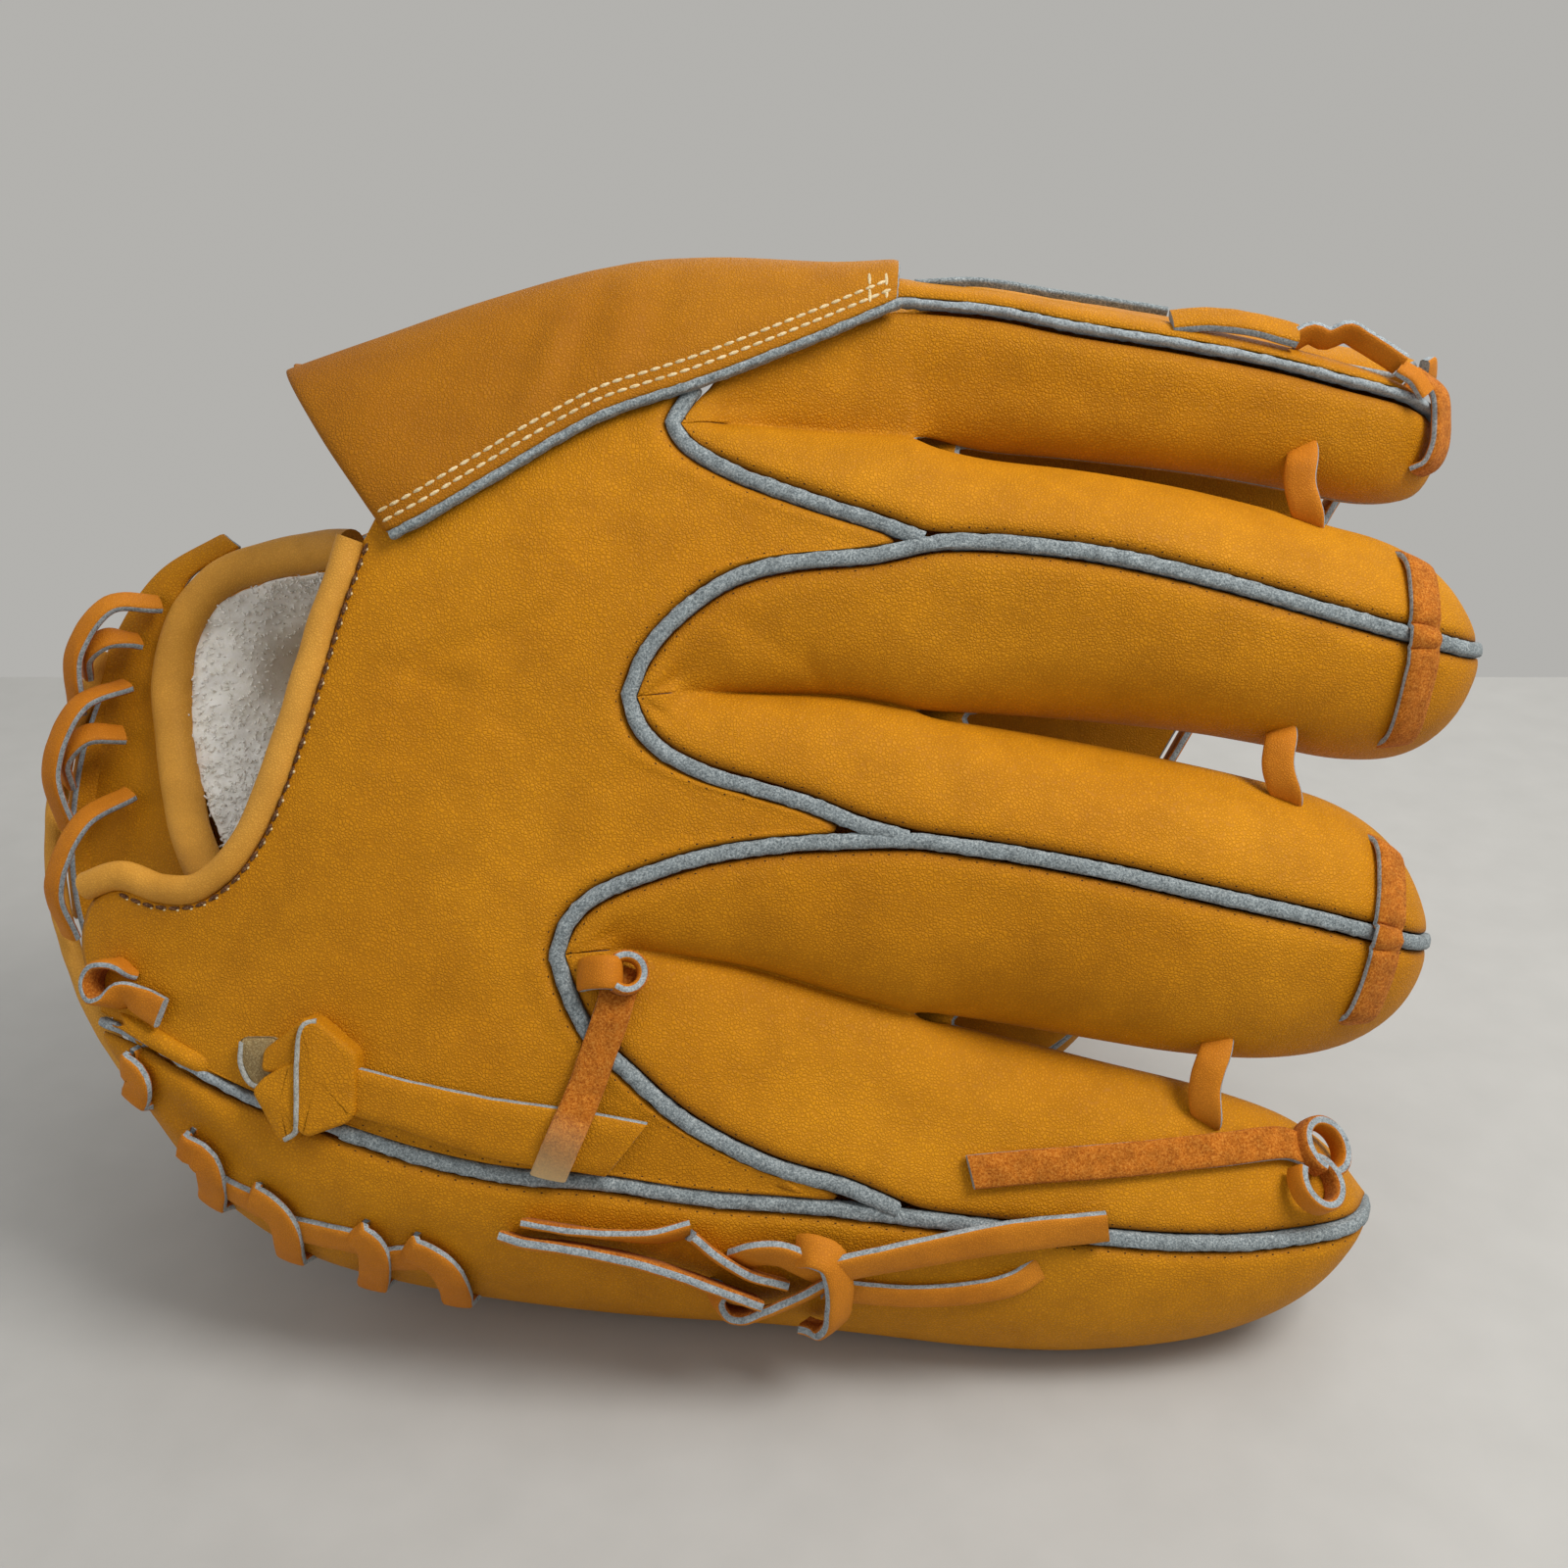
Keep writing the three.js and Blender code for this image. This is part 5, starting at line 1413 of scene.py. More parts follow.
@dataclass(frozen=True)
class Lace:
    """A lace that lies on the glove, along rows in the columns u, v, lift, roll, scale and pale."""

    name: str
    rows: Rows
    width: float = 6.5
    thickness: float = 1.8
    finishes: tuple[Finish, ...] = LACE_FINISHES
    nodes: tuple[str, ...] = ()
    slant: tuple[float, float] = (0.0, 0.0)
    pitch: float = 1.1
    stiff: int = 3
    calm: int = 2
    taut: int = 0

    def stops(self, ground: Ground) -> list[Stop]:
        """Lays the lace on the ground, at the height where its whole width clears what is under it.

        Args:
            ground: what it lies on.

        Returns:
            Its stops.
        """
        course = Course([row[:3] for row in self.rows])
        found = []
        for spot in even(max(6, round(course.length / self.pitch))):
            place = course.at(spot)
            hit = ground.under(place.x, place.y)
            if hit:
                found.append((spot, place.z, *hit))
        extras = [self.extra(spot) for spot, *_ in found]
        facings = self.smooth([hit[3] for hit in found])
        needs = []
        for i, (_, _, at, _) in enumerate(found):
            along = (found[min(i + 1, len(found) - 1)][2] - found[max(i - 1, 0)][2]).normalized()
            across = along.cross(facings[i]).normalized()
            roll, scale, _ = extras[i]
            half = 0.5 * MM * scale * self.width * abs(math.cos(math.radians(roll)))
            feet = [at + across * half * side for side in (-0.9, -0.45, 0, 0.45, 0.9)]
            needs.append(max(ground.rise(foot, facings[i]) for foot in feet))
        highest = [max(needs[max(0, i - 1):i + 2]) for i in range(len(needs))]
        spans = [highest[max(0, i - self.calm):i + self.calm + 1] for i in range(len(highest))]
        level = [sum(span) / len(span) for span in spans]
        stops = []
        for i, (_, lift, at, _) in enumerate(found):
            roll, scale, pale = extras[i]
            turn = math.radians(roll)
            half = 0.5 * (abs(math.cos(turn)) * self.thickness + abs(math.sin(turn)) * self.width * scale)
            height = max(0.0, level[i]) + (lift + half) * MM
            stops.append(Stop(at + facings[i] * height, facings[i], scale, roll, pale))
        return self.pulled(stops) if self.taut else stops

    def pulled(self, stops: Sequence[Stop]) -> list[Stop]:
        """The lace pulled taut, so that it only follows a few of its stops."""
        last = len(stops) - 1
        keys = [stops[round(last * k / self.taut)] for k in range(self.taut + 1)]
        course = Course([tuple(key.place / MM) for key in keys])
        taut = []
        for i, stop in enumerate(stops):
            spot = i / last * self.taut
            near = min(int(spot), self.taut - 1)
            rise = keys[near].rise.lerp(keys[near + 1].rise, spot - near).normalized()
            taut.append(replace(stop, place=course.at(i / last) * MM, rise=rise))
        return taut

    def extra(self, spot: float) -> tuple[float, float, float]:
        """The roll, scale and paleness at a share of the way."""
        full = [(*row, *(0.0, 1.0, 0.0)[len(row) - 3:]) for row in self.rows]
        place = spot * (len(full) - 1)
        first = min(int(place), len(full) - 2)
        weight = place - first
        a, b = full[first][3:6], full[first + 1][3:6]
        return tuple(x + (y - x) * weight for x, y in zip(a, b))

    def smooth(self, facings: Sequence[Vector]) -> list[Vector]:
        """Evens out the directions that a surface faces along the lace."""
        reach = self.stiff
        return [sum(facings[max(0, i - reach):i + reach + 1], Vector()).normalized()
                for i in range(len(facings))]

    def build(self, ground: Ground) -> None:
        """Builds the lace and makes it part of the ground."""
        band = Band(Section.lace(self.width, self.thickness), slant=self.slant)
        ground.add(band_piece(self.name, band, [self.stops(ground)], self.finishes, self.nodes))


@dataclass(frozen=True)
class Bench:
    """A flat place on the glove with its own two directions, where a knot is tied."""

    origin: Vector
    right: Vector
    up: Vector
    out: Vector

    @staticmethod
    def at(ground: Ground, u: float, v: float, spread: float = 5.0) -> "Bench":
        """Sets up a bench on the surface around a place.

        Args:
            ground: the surface.
            u: the place along the glove.
            v: the place across it.
            spread: how far round it the surface is felt, in millimetres.

        Returns:
            The bench.
        """
        spots = [(0, 0), (spread, 0), (-spread, 0), (0, spread), (0, -spread)]
        hits = [hit for hit in (ground.under(u + a, v + b) for a, b in spots) if hit]
        out = sum((hit[1] for hit in hits), Vector()).normalized()
        right = (Vector((1, 0, 0)) - out * out.x).normalized()
        origin = hits[0][0]
        high = max((hit[0] - origin).dot(out) for hit in hits)
        return Bench(origin + out * max(0.0, min(high, 0.003)), right, out.cross(right), out)

    def place(self, a: float, b: float, c: float) -> Vector:
        """A place on the bench, in millimetres right, up and out."""
        return self.origin + (self.right * a + self.up * b + self.out * c) * MM

    def run(self, rows: Rows, pitch: float = 0.8) -> list[Stop]:
        """Stops along rows in the columns right, up, out and roll.

        Args:
            rows: the rows.
            pitch: the distance between stops in millimetres.

        Returns:
            The stops.
        """
        course = Course([row[:3] for row in rows])
        stops = []
        for spot in even(max(8, round(course.length / pitch))):
            place = course.at(spot)
            step = spot * (len(rows) - 1)
            first = min(int(step), len(rows) - 2)
            rolls = [row[3] if len(row) > 3 else 0.0 for row in rows[first:first + 2]]
            roll = rolls[0] + (rolls[1] - rolls[0]) * (step - first)
            stops.append(Stop(self.place(*place), self.out, 1.0, roll))
        return stops


def ring_rows(a: float, b: float, radius: float, start: float, end: float, low: float, high: float,
              roll: float = 90.0, count: int = 12) -> list[tuple[float, float, float, float]]:
    """Rows for a loop of lace that stands on its edge.

    Args:
        a: the loop's middle, to the right.
        b: the loop's middle, upwards.
        radius: its radius.
        start: the angle at which it starts, in degrees.
        end: the angle at which it ends.
        low: how far out it starts.
        high: how far out it ends.
        roll: how it is turned about its own length.
        count: how many rows it takes.

    Returns:
        The rows.
    """
    rows = []
    for k in range(count + 1):
        angle = math.radians(start + (end - start) * k / count)
        out = low + (high - low) * k / count
        rows.append((a + radius * math.cos(angle), b + radius * math.sin(angle), out, roll))
    return rows


@dataclass
class Welts:
    """The strips of grey split leather that are sewn between the panels."""

    shell: Shell
    width: float = 3.0
    height: float = 2.6
    proud: float = 0.5
    narrow: float = 1.7
    tip_reach: float = 14.0
    pieces: list[bpy.types.Object] = field(default_factory=list)

    def seat(self, course: Course, tip: float) -> list[Stop]:
        """Stops for a welt in its seam, which turns with it over the fingertip.

        Args:
            course: the seam.
            tip: the place of the fingertip along the glove.

        Returns:
            The stops.
        """
        stops = []
        for place in course.spaced(round(course.length / 1.3)):
            up = Vector((min(max((place.x - tip) / self.tip_reach + 1, 0), 1), 0, -1)).normalized()
            sunk = 0.5 * self.height - self.proud + 0.5 * BACK.relief(place)
            stops.append(Stop(FRAME.stand(place - up * sunk), FRAME.turned(up)))
        return stops

    def build(self) -> None:
        """Builds the five welts."""
        seams = self.shell.seams
        first, second, third = (seams[n] for n in ("index_middle", "middle_ring", "ring_little"))
        routes = {
            "index_welt": self.shell.crests["index"],
            "index_middle_welt": first["upper"][:6][::-1] + first["lower"][1:],
            "middle_welt": second["lower"][:30][::-1] + second["upper"][1:] + self.shell.crests["middle"][1:],
            "ring_welt": third["lower"][:30][::-1] + third["upper"][1:] + self.shell.crests["ring"][1:],
            "little_welt": self.shell.heel_crest[12:] + self.shell.crests["little"][1:],
        }
        for name, places in routes.items():
            finger = FINGERS.get(name.removesuffix("_welt"))
            tip = finger["tip"][0][0] if finger else 1000
            width = self.narrow if name == "index_welt" else self.width
            band = Band(Section.tape(width, self.height), rough=0.3, rough_length=1.6)
            finish = Finish.CUT if name == "index_welt" else Finish.WELT
            stops = self.seat(Course(places), tip)
            self.pieces.append(band_piece(f"{name}_suede", band, [stops], [finish], [name]))
        self.pieces.append(self.free_edge())

    def free_edge(self) -> bpy.types.Object:
        """The pale cut edge of the back leather, left of the folded knot, where no welt is sewn in."""
        places = Course(self.shell.heel_crest[:14]).spaced(50)
        seat = [place + Vector((0, 0, 0.7)) for place in places]
        band = Band(Section.tape(1.9, 2.0), rough=0.3, rough_length=2.4)
        return band_piece("back_free_edge", band, [straight(seat)], [Finish.CUT], [])


@dataclass
class Wrist:
    """The wrist opening: its binding, the padded heel, the leather beside it and the fleece inside."""

    ground: Ground
    pieces: list[bpy.types.Object] = field(default_factory=list)
    fibres: int = 4600
    hollow: tuple[float, float, float] = (-102.0, 143.0, 56.0)

    def build(self) -> None:
        """Builds the wrist opening."""
        edge = Course(beside(on_back(WRIST_EDGE[:10]).spaced(90), -2.5)).spaced(100)
        rolled = Band(Section.roll(5.8, 5.2), rough=0.35, rough_length=9)
        binding = [place + Vector((0, 0, 1)) for place in edge]
        heel = Course([*HEEL_ROLL, (-118.5, 99, 24), (-114, 93, 21)]).spaced(96)
        pad = Band(Section.roll(8.4, 7, 20), rough=0.7, rough_length=13)
        self.pieces = [
            band_piece("wrist_roll", rolled, [straight(binding)], [Finish.BINDING], ["wrist_binding"]),
            band_piece("heel_pad", pad, [straight(heel)], [Finish.BINDING], ["heel_roll"]),
            self.lining(), self.palm_binding(), self.fleece(),
        ]

    def lining(self) -> bpy.types.Object:
        """The narrow leather beside the heel roll."""
        ends = {"inner": (-125, 100, 30), "outer": (-160, 88, 51)}
        inner, outer = (Course([*HEEL_LINING[part], ends[part]]).spaced(44) for part in ("inner", "outer"))
        inner = [place + Vector((4.6 * self.towards_hand(place), 0, -1.2)) for place in inner]
        grid = [[a.lerp(b, t) + TOWARDS_BACK * math.sin(math.pi * t) for t in even(8)]
                for a, b in zip(inner, outer)]
        sheet = Sheet().lay(grid).face(TOWARDS_PALM)
        return sheet.finish("heel_lining_leather", 2.0, ["heel_lining"])

    @staticmethod
    def towards_hand(place: Vector) -> float:
        """How far the lining's inner edge tucks under the heel roll, from 0 at its top to 1."""
        return min(max((168 - place.y) / 14, 0.2), 1.0)

    @staticmethod
    def palm_binding() -> bpy.types.Object:
        """The piped binding of the palm's heel edge."""
        places = beside(Course(HEEL_EDGE[1:6]).spaced(60), 2.9)
        band = Band(Section.roll(4.4, 4.4, 12), rough=0.25, rough_length=6)
        return band_piece("palm_heel_piping", band, [straight(places)], [Finish.BINDING],
                          ["palm_heel_binding"])

    def fleece(self) -> bpy.types.Object:
        """The fleece inside the wrist, a tufted pad with short curled fibres."""
        front, rear = (Course(FLEECE[part]).spaced(56) for part in ("front", "rear"))
        front = [place + Vector((-4.2, 0.4, -2.4)) for place in front]
        grid = []
        for a, b in zip(front, rear):
            row = []
            for t in even(30):
                place = a.lerp(b, t)
                tuft = noise.fractal(place / 5.0, 0.8, 2.1, 4)
                aside, above = (place.x - self.hollow[0]) / 11, (place.y - self.hollow[1]) / 15
                hollow = math.exp(-aside ** 2 - above ** 2)
                place.z += 16 * hollow - 1.7 * max(-0.4, tuft) - math.sin(math.pi * t)
                row.append(place)
            grid.append(row)
        sheet = Sheet().lay(grid).face(TOWARDS_PALM)
        bm = sheet.bm
        faces = list(bm.faces)
        noise.seed_set(SEED)
        for number in range(self.fibres):
            face = faces[int(number * len(faces) / self.fibres)]
            root = face.calc_center_median() + noise.random_unit_vector() * 0.0007
            lean = (face.normal * 0.35 + noise.random_unit_vector() * 1.0).normalized()
            length = 0.0007 + 0.0007 * noise.random()
            turn = lean.to_track_quat("Z", "Y").to_matrix().to_4x4()
            matrix = Matrix.Translation(root + lean * length * 0.45) @ turn
            bmesh.ops.create_cone(bm, segments=3, radius1=0.00012, radius2=0.00004, depth=length,
                                  matrix=matrix)
        # The "pale" layer paints shade here: it tints the fleece towards the darker CREAM_SUEDE around the hollow.
        pale = bm.verts.layers.float.new("pale")
        middle = FRAME.stand(self.hollow)
        for vert in bm.verts:
            vert[pale] = 0.8 * math.exp(-((vert.co - middle).length / (13 * MM)) ** 2)
        piece = sheet.finish("fleece_wool", 0.1, ["fleece_lining"], Finish.WOOL, Finish.WOOL)
        piece.modifiers["wall"].thickness = 0.0006
        return piece


@dataclass
class Lacing:
    """Every lace, tie and knot of the glove."""

    ground: Ground
    hole_depth: float = 1.4

    def build(self) -> None:
        """Builds the lacing, each lace over those before it."""
        self.strap()
        for lace in self.laid():
            lace.build(self.ground)
        self.crotch_loop()
        self.index_tip()
        self.tip_rings()
        self.edge_knot()
        self.corner_loop()
        self.bridges()
        self.heel_arcs()
        self.whip()
        self.web_mouth()
        self.web_top()

    @staticmethod
    def laid() -> list[Lace]:
        """The laces that lie flat on the leather."""
        return [
            Lace("crotch_tie_tail", [
                (-31, 83, 0.2), (-32, 79, 0.6), (-33.5, 74, 0.5), (-36, 67, 0.5), (-39, 58.5, 0.5),
                (-42.2, 51, 0.5, 0, 1, 0.3), (-45.6, 43.2, 1.2, 0, 1, 0.75)],
                width=7.0, finishes=NAP_FINISHES, slant=(0, 0.25), stiff=7, calm=7, taut=5),
            Lace("middle_tip_lace_band", [
                (128.6, 166, -2.0), (128.2, 163, 0.2), (127.4, 154, 0.3), (126.8, 145, 0.4), (126, 136, 0.3),
                (125.4, 129, 0), (125, 126.5, -2.2)],
                width=6.8, nodes=("middle_tip_lace",), finishes=NAP_FINISHES),
            Lace("ring_tip_lace_band", [
                (121.6, 107.5, -2.0), (121.2, 105, 0.2), (120.2, 98, 0.3), (118.8, 90, 0.4), (117, 80, 0.3),
                (115, 73, 0), (114.2, 70.5, -2.2)],
                width=6.8, nodes=("ring_tip_lace",), finishes=NAP_FINISHES),
            Lace("little_tip_tail", [
                (36.5, 42.5, 0.4), (52, 43.6, 0.3), (70, 44.6, 0.3), (88, 45.6, 0.4), (100, 45.6, 0.8),
                (105, 44, 0.6)],
                width=6.6, nodes=("little_tip_tie",), finishes=NAP_FINISHES, slant=(-0.15, 0)),
            Lace("edge_tail_left", [
                (-54.5, 31.2, -1.4, 50), (-50, 30.9, 0.0, 56), (-42, 30.0, 0.2, 60), (-30, 27.6, 0.4, 60),
                (-22, 25.4, 0.8, 56), (-14, 22.6, 1.2, 52), (-5, 18.6, 1.0, 48)],
                width=6.2, thickness=2.2, nodes=("little_edge_tie",), calm=5),
            Lace("edge_strip_left", [
                (-50.5, 34.2, -1.0, 62), (-44, 33.6, 0.0, 64), (-34, 32.4, 0.3, 56), (-25, 31.8, 0.2, 44),
                (-18.5, 32.4, -1.2, 36)],
                width=5.4, calm=5),
            Lace("edge_tail_right", [
                (8, 25.8, 2.6, 24), (16, 27.0, 2.0, 24), (26, 28.4, 1.2, 22), (38, 30.2, 0.6, 20),
                (50, 31.8, 0.4, 18), (63, 33.4, 0.6, 16)],
                width=6.8, thickness=2.0, nodes=("little_edge_tail",), slant=(0, 0.1), stiff=14, calm=12,
                taut=3),
            Lace("edge_lace_low", [
                (8, 20.5, 1.4), (16, 18.6, 0.5), (26, 17.8, 0.3), (38, 18.8, 0.3), (46, 21, 0.2),
                (50.5, 23, -1.6)],
                width=5.0),
        ]

    def strap(self) -> None:
        """The strap on the little-finger side and its folded knot."""
        strap = Lace("strap_tail", [
            (-85, 60.2, 0.4, 0, 0.8), (-80.8, 59.2, 0.4, 0, 0.82), (-68, 55.9, 0.4, 0, 0.94),
            (-55, 52.6, 0.4, 0, 1.05), (-42, 50.6, 0.4, 0, 1.06), (-30.5, 48.6, 0.6, 0, 1.04)],
            width=11.4, thickness=2.2, finishes=(Finish.SHELL, Finish.CUT, Finish.CUT),
            nodes=("wrist_strap",), slant=(0, -0.55), stiff=8)
        strap.build(self.ground)
        bench = Bench.at(self.ground, -95.3, 59.8, 7.5)
        knot = (
            ([(-5.5, 7.6), (-6.0, 3.4), (2.4, 3.0), (2.9, 13.6), (1.6, 13.2)], 3.0, 0.02),
            ([(-7.7, -0.3), (-1.8, -10.4), (0.9, -9.9), (2.4, -7.0), (2.6, 6.0), (-0.5, 5.3),
              (-5.6, 2.2)], 3.9, 0.05),
            ([(2.5, 13.3), (2.1, 5.4), (1.9, -7.4), (3.9, -8.8), (11.6, -6.0), (13.3, -4.1), (13.7, 7.6),
              (5.9, 14.2), (3.4, 14.4)], 5.0, -0.1),
        )
        slot = (([(-11, 9.6), (-11, 4.6), (-8.4, 0.2), (-3, 0.2), (-2, 8), (-4, 9.8)], 1.2, 0.0),)
        tape = Section.tape(1.0, 1.0)
        rims = {
            "strap_knot_folded": [(6, 13.8, 3.7), (3.9, 13.4, 4.2), (2.9, 11.4, 4.4), (2.3, 5.6, 4.5),
                                  (2.1, -5.6, 4.5), (1.5, -7.9, 4.0), (-0.8, -9.4, 3.5)],
            "strap_slot_flap": [(-10.6, 8.8, 0.9), (-10.8, 4.4, 0.9), (-8.6, 0.6, 0.9), (-5, 0, 0.9)],
        }
        for name, layers, finishes, nodes in (
                ("strap_slot_flap", slot, [Finish.SPLIT, Finish.CUT], []),
                ("strap_knot_folded", knot, [Finish.SHELL, Finish.CUT], ["strap_knot"])):
            bm = bmesh.new()
            band = Band(Section(tape.corners, (1,) * len(tape.corners)))
            band.sweep(bm, bench.run(rims[name]))
            for outline, thickness, tilt in layers:
                self.fold(bm, bench, outline, thickness, tilt)
            pale = bm.verts.layers.float["pale"]
            for vert in bm.verts:
                vert[pale] = 0.2
            sharpen(bm, 55)
            self.ground.add(keep_piece(name, bm, finishes, nodes))

    @staticmethod
    def fold(bm: bmesh.types.BMesh, bench: Bench, outline: Sequence[tuple[float, float]], thickness: float,
             tilt: float) -> None:
        """Adds one folded layer of a knot: a low cushion with round corners and round rims.

        Args:
            bm: the mesh that it is added to.
            bench: where the knot lies.
            outline: the corners of its outline on the bench.
            thickness: how high it stands, in millimetres.
            tilt: how much it climbs to the right.
        """
        corners = [Vector(corner) for corner in outline]
        ring = []
        for before, here, after in zip([corners[-1], *corners], corners, [*corners[1:], corners[0]]):
            cut = min(1.2, (before - here).length * 0.4, (after - here).length * 0.4)
            first = here + (before - here).normalized() * cut
            last = here + (after - here).normalized() * cut
            ring += [first.lerp(here, t).lerp(here.lerp(last, t), t) for t in (0, 0.25, 0.5, 0.75, 1)]
            ring += [last.lerp(after, share * 0.9) for share in (0.33, 0.66)]
        middle = sum(ring, Vector((0, 0))) / len(ring)
        rim, crown = 1.1, 0.5
        rows = [(0.0, -0.6), (0.0, thickness * 0.5)]
        for k in range(6):
            angle = math.radians(18 * k)
            rows.append((rim * (1 - math.cos(angle)), thickness - rim * (1 - math.sin(angle))))
        shares = (0.12, 0.3, 0.5, 0.7, 0.88, 1.0)
        count = len(ring)
        steps = len(rows) + len(shares) - 1
        grid = bmesh.ops.create_grid(bm, x_segments=steps, y_segments=count, size=1.0)["verts"]
        for vert in grid:
            i = round((vert.co.x + 1) / 2 * steps)
            spot = ring[round((vert.co.y + 1) / 2 * count) % count]
            inset, height = rows[min(i, len(rows) - 1)]
            spot = spot + (middle - spot).normalized() * inset
            if i >= len(rows):
                share = shares[i - len(rows)]
                spot = spot.lerp(middle, share)
                height += crown * (1 - (1 - share) ** 2)
            vert.co = bench.place(spot.x, spot.y, height + tilt * spot.x)
        bmesh.ops.remove_doubles(bm, verts=grid, dist=1e-6)
        edges = [edge for edge in bm.edges if edge.is_boundary]
        bmesh.ops.holes_fill(bm, edges=edges, sides=0)
        bmesh.ops.recalc_face_normals(bm, faces=list(bm.faces))

    def on_bench(self, name: str, bench: Bench, runs: Sequence[Rows], nodes: Sequence[str], width: float,
                 thickness: float, finishes: Sequence[Finish] = LACE_FINISHES) -> None:
        """Ties laces on a bench and keeps them as one piece."""
        band = Band(Section.lace(width, thickness))
        stops = [bench.run(rows) for rows in runs]
        self.ground.add(band_piece(name, band, stops, finishes, nodes))

    def crotch_loop(self) -> None:
        """The loop of the lace at the root of the gap between the ring finger and the little finger."""
        bench = Bench.at(self.ground, -34, 82, 4)
        ring = ring_rows(3.2, 0.4, 3.4, 205, -130, 1.0, 1.9)
        fold = [(-4.8, 0.2, -2.2), (-4.2, 0.2, 0.6), (-2.6, 0.2, 2.8), (-0.4, 0.2, 3.8), (1.2, 0.2, 2.8),
                (1.8, 0.2, 0.4)]
        self.on_bench("crotch_tie_ring", bench, [ring], ["crotch_tie"], 4.6, 1.9)
        self.on_bench("crotch_tie_fold", bench, [fold], [], 6.4, 1.8)

    def index_tip(self) -> None:
        """The lace over the tip of the index finger."""
        bench = Bench.at(self.ground, 134, 193, 4)
        rows = [(0.2, 9.8, -5.5), (0.5, 9.4, -1.8), (0.7, 7, 0.6), (0.9, 2, 1.2), (0.9, -3.5, 1.0),
                (0.8, -7.2, -0.6), (0.7, -8.6, -3.5)]
        self.on_bench("index_tip_lace_band", bench, [rows], ["index_tip_lace"], 6.6, 1.8, NAP_FINISHES)

    def tip_rings(self) -> None:
        """The two linked loops at the tip of the little finger."""
        bench = Bench.at(self.ground, 107.4, 40.6, 4)
        first = ring_rows(1.6, 4.2, 5.3, -75, 250, 1.2, 2.6)
        second = ring_rows(-1.8, -3.4, 5.1, 105, -205, 1.2, 2.8)
        self.on_bench("little_tip_rings", bench, [first, second], [], 4.6, 2.1, NAP_FINISHES)

    def edge_knot(self) -> None:
        """The overhand knot on the little-finger edge."""
        bench = Bench.at(self.ground, -1.5, 21.5, 6)
        under = [(-16.8, 11.2, 0.6, 52), (-12.4, 7.3, 1.6, 52), (-6, 2.4, 1.8, 52), (1.6, -0.9, 1.4, 50)]
        face = [(-7.4, 4.6, 0.4, 8), (-3.4, 8, 2.2, 12), (1, 8.6, 2.8, 12), (5.6, 5.9, 2.8, 12),
                (10.8, 2.1, 2.2, 10)]
        low = [(11.2, 1.4, 2.6, -45), (4.6, -2.4, 3.6, -45), (-1.4, -5.9, 3.6, -45), (-6.4, -8, 3.2, -48),
               (-10, -7.3, 2.8, -60), (-12, -3.8, 2.2, -64), (-11.2, -1.2, 1.2, -64)]
        loop = [(4.6, 8.7, 2.0, -60), (7.2, 10.4, 3.8, -54), (10.6, 9.2, 4.6, -44), (12.2, 4, 5.0, -42),
                (12.4, -3.1, 5.0, -42), (11.6, -8.2, 4.4, -46), (9.2, -11.6, 3.2, -56), (5.6, -12, 1.6, -60)]
        for name, rows, nodes in (("under", under, []), ("face", face, []), ("low", low, []),
                                  ("loop", loop, ["little_edge_knot"])):
            self.on_bench(f"little_edge_knot_{name}", bench, [rows], nodes, 6.4, 2.1)

    def corner_loop(self) -> None:
        """The loop with a short tail at the corner of the heel."""
        bench = Bench.at(self.ground, -133, 78.5, 4)
        loop = [
            (2.2, 3.0, -1.6, 90), (-0.4, 4.6, 1.8, 90), (-3.4, 4.0, 2.6, 90), (-5.0, 0.8, 2.8, 90),
            (-3.8, -2.4, 2.8, 86), (-0.6, -2.9, 2.4, 60), (2.8, -1.4, 2.2, 25), (6.5, -2.8, 1.8, 5),
            (11.2, -4.8, 1.8, 0),
        ]
        self.on_bench("corner_loop", bench, [loop], ["corner_tie"], 6.2, 1.7)

    def bridges(self) -> None:
        """The laces that span the gaps between the fingers."""
        band = Band(Section.lace(6.2, 1.8))
        for name, u, high, low, lean in (
                ("index_middle_bridge", 106.5, 188, 172, 1.0), ("middle_ring_bridge", 101, 130, 115.5, 1.0),
                ("ring_little_bridge", 87.5, 67.5, 50.5, -2.0)):
            ends = [self.ground.under(u, high), self.ground.under(u + lean, low)]
            out = FRAME.turned(TOWARDS_BACK)
            stops = []
            for t in even(24):
                arch = 1 - (2 * t - 1) ** 4
                sideways = Vector((-2.2 * MM * math.sin(math.pi * t), 0, 0))
                place = ends[0][0].lerp(ends[1][0], t) + out * (3.4 * arch - 1.6) * MM + sideways
                stops.append(Stop(place, out + Vector((-0.5, 0, 0)), 1.0, 0.0))
            self.ground.add(band_piece(f"{name}_lace", band, [stops], LACE_FINISHES, [name]))

    def heel_arcs(self) -> None:
        """The lace that joins the heel lining to the palm's edge, in arcs that bulge outwards."""
        arcs = (
            ((-136.6, 158.3, 43), (-145, 157.5, 37), (-152.5, 147, 37), (-154.5, 134.8, 43)),
            ((-141, 150.2, 43), (-146, 150.4, 38.5), (-151, 147.5, 40), (-153.5, 143.5, 45)),
            ((-143.6, 140.6, 43), (-151, 136, 36), (-157, 122, 36), (-156.5, 109, 43)),
            ((-144, 129.7, 42), (-150, 129.6, 37.5), (-155.5, 125, 39), (-157.5, 119.4, 45)),
            ((-141.6, 117, 40), (-149.5, 111, 34), (-155.5, 97, 34), (-155, 86, 41)),
        )
        band = Band(Section.lace(5.2, 1.9))
        runs = []
        for places in arcs:
            course = Course(places)
            stops = []
            for t in even(32):
                rise = FRAME.turned(Vector((-0.5, 0.5 - 0.45 * t, -0.9)).normalized())
                stops.append(Stop(FRAME.stand(course.at(t)), rise))
            runs.append(stops)
        band_piece("heel_lace_arcs", band, runs, LACE_FINISHES, ["heel_lace"])

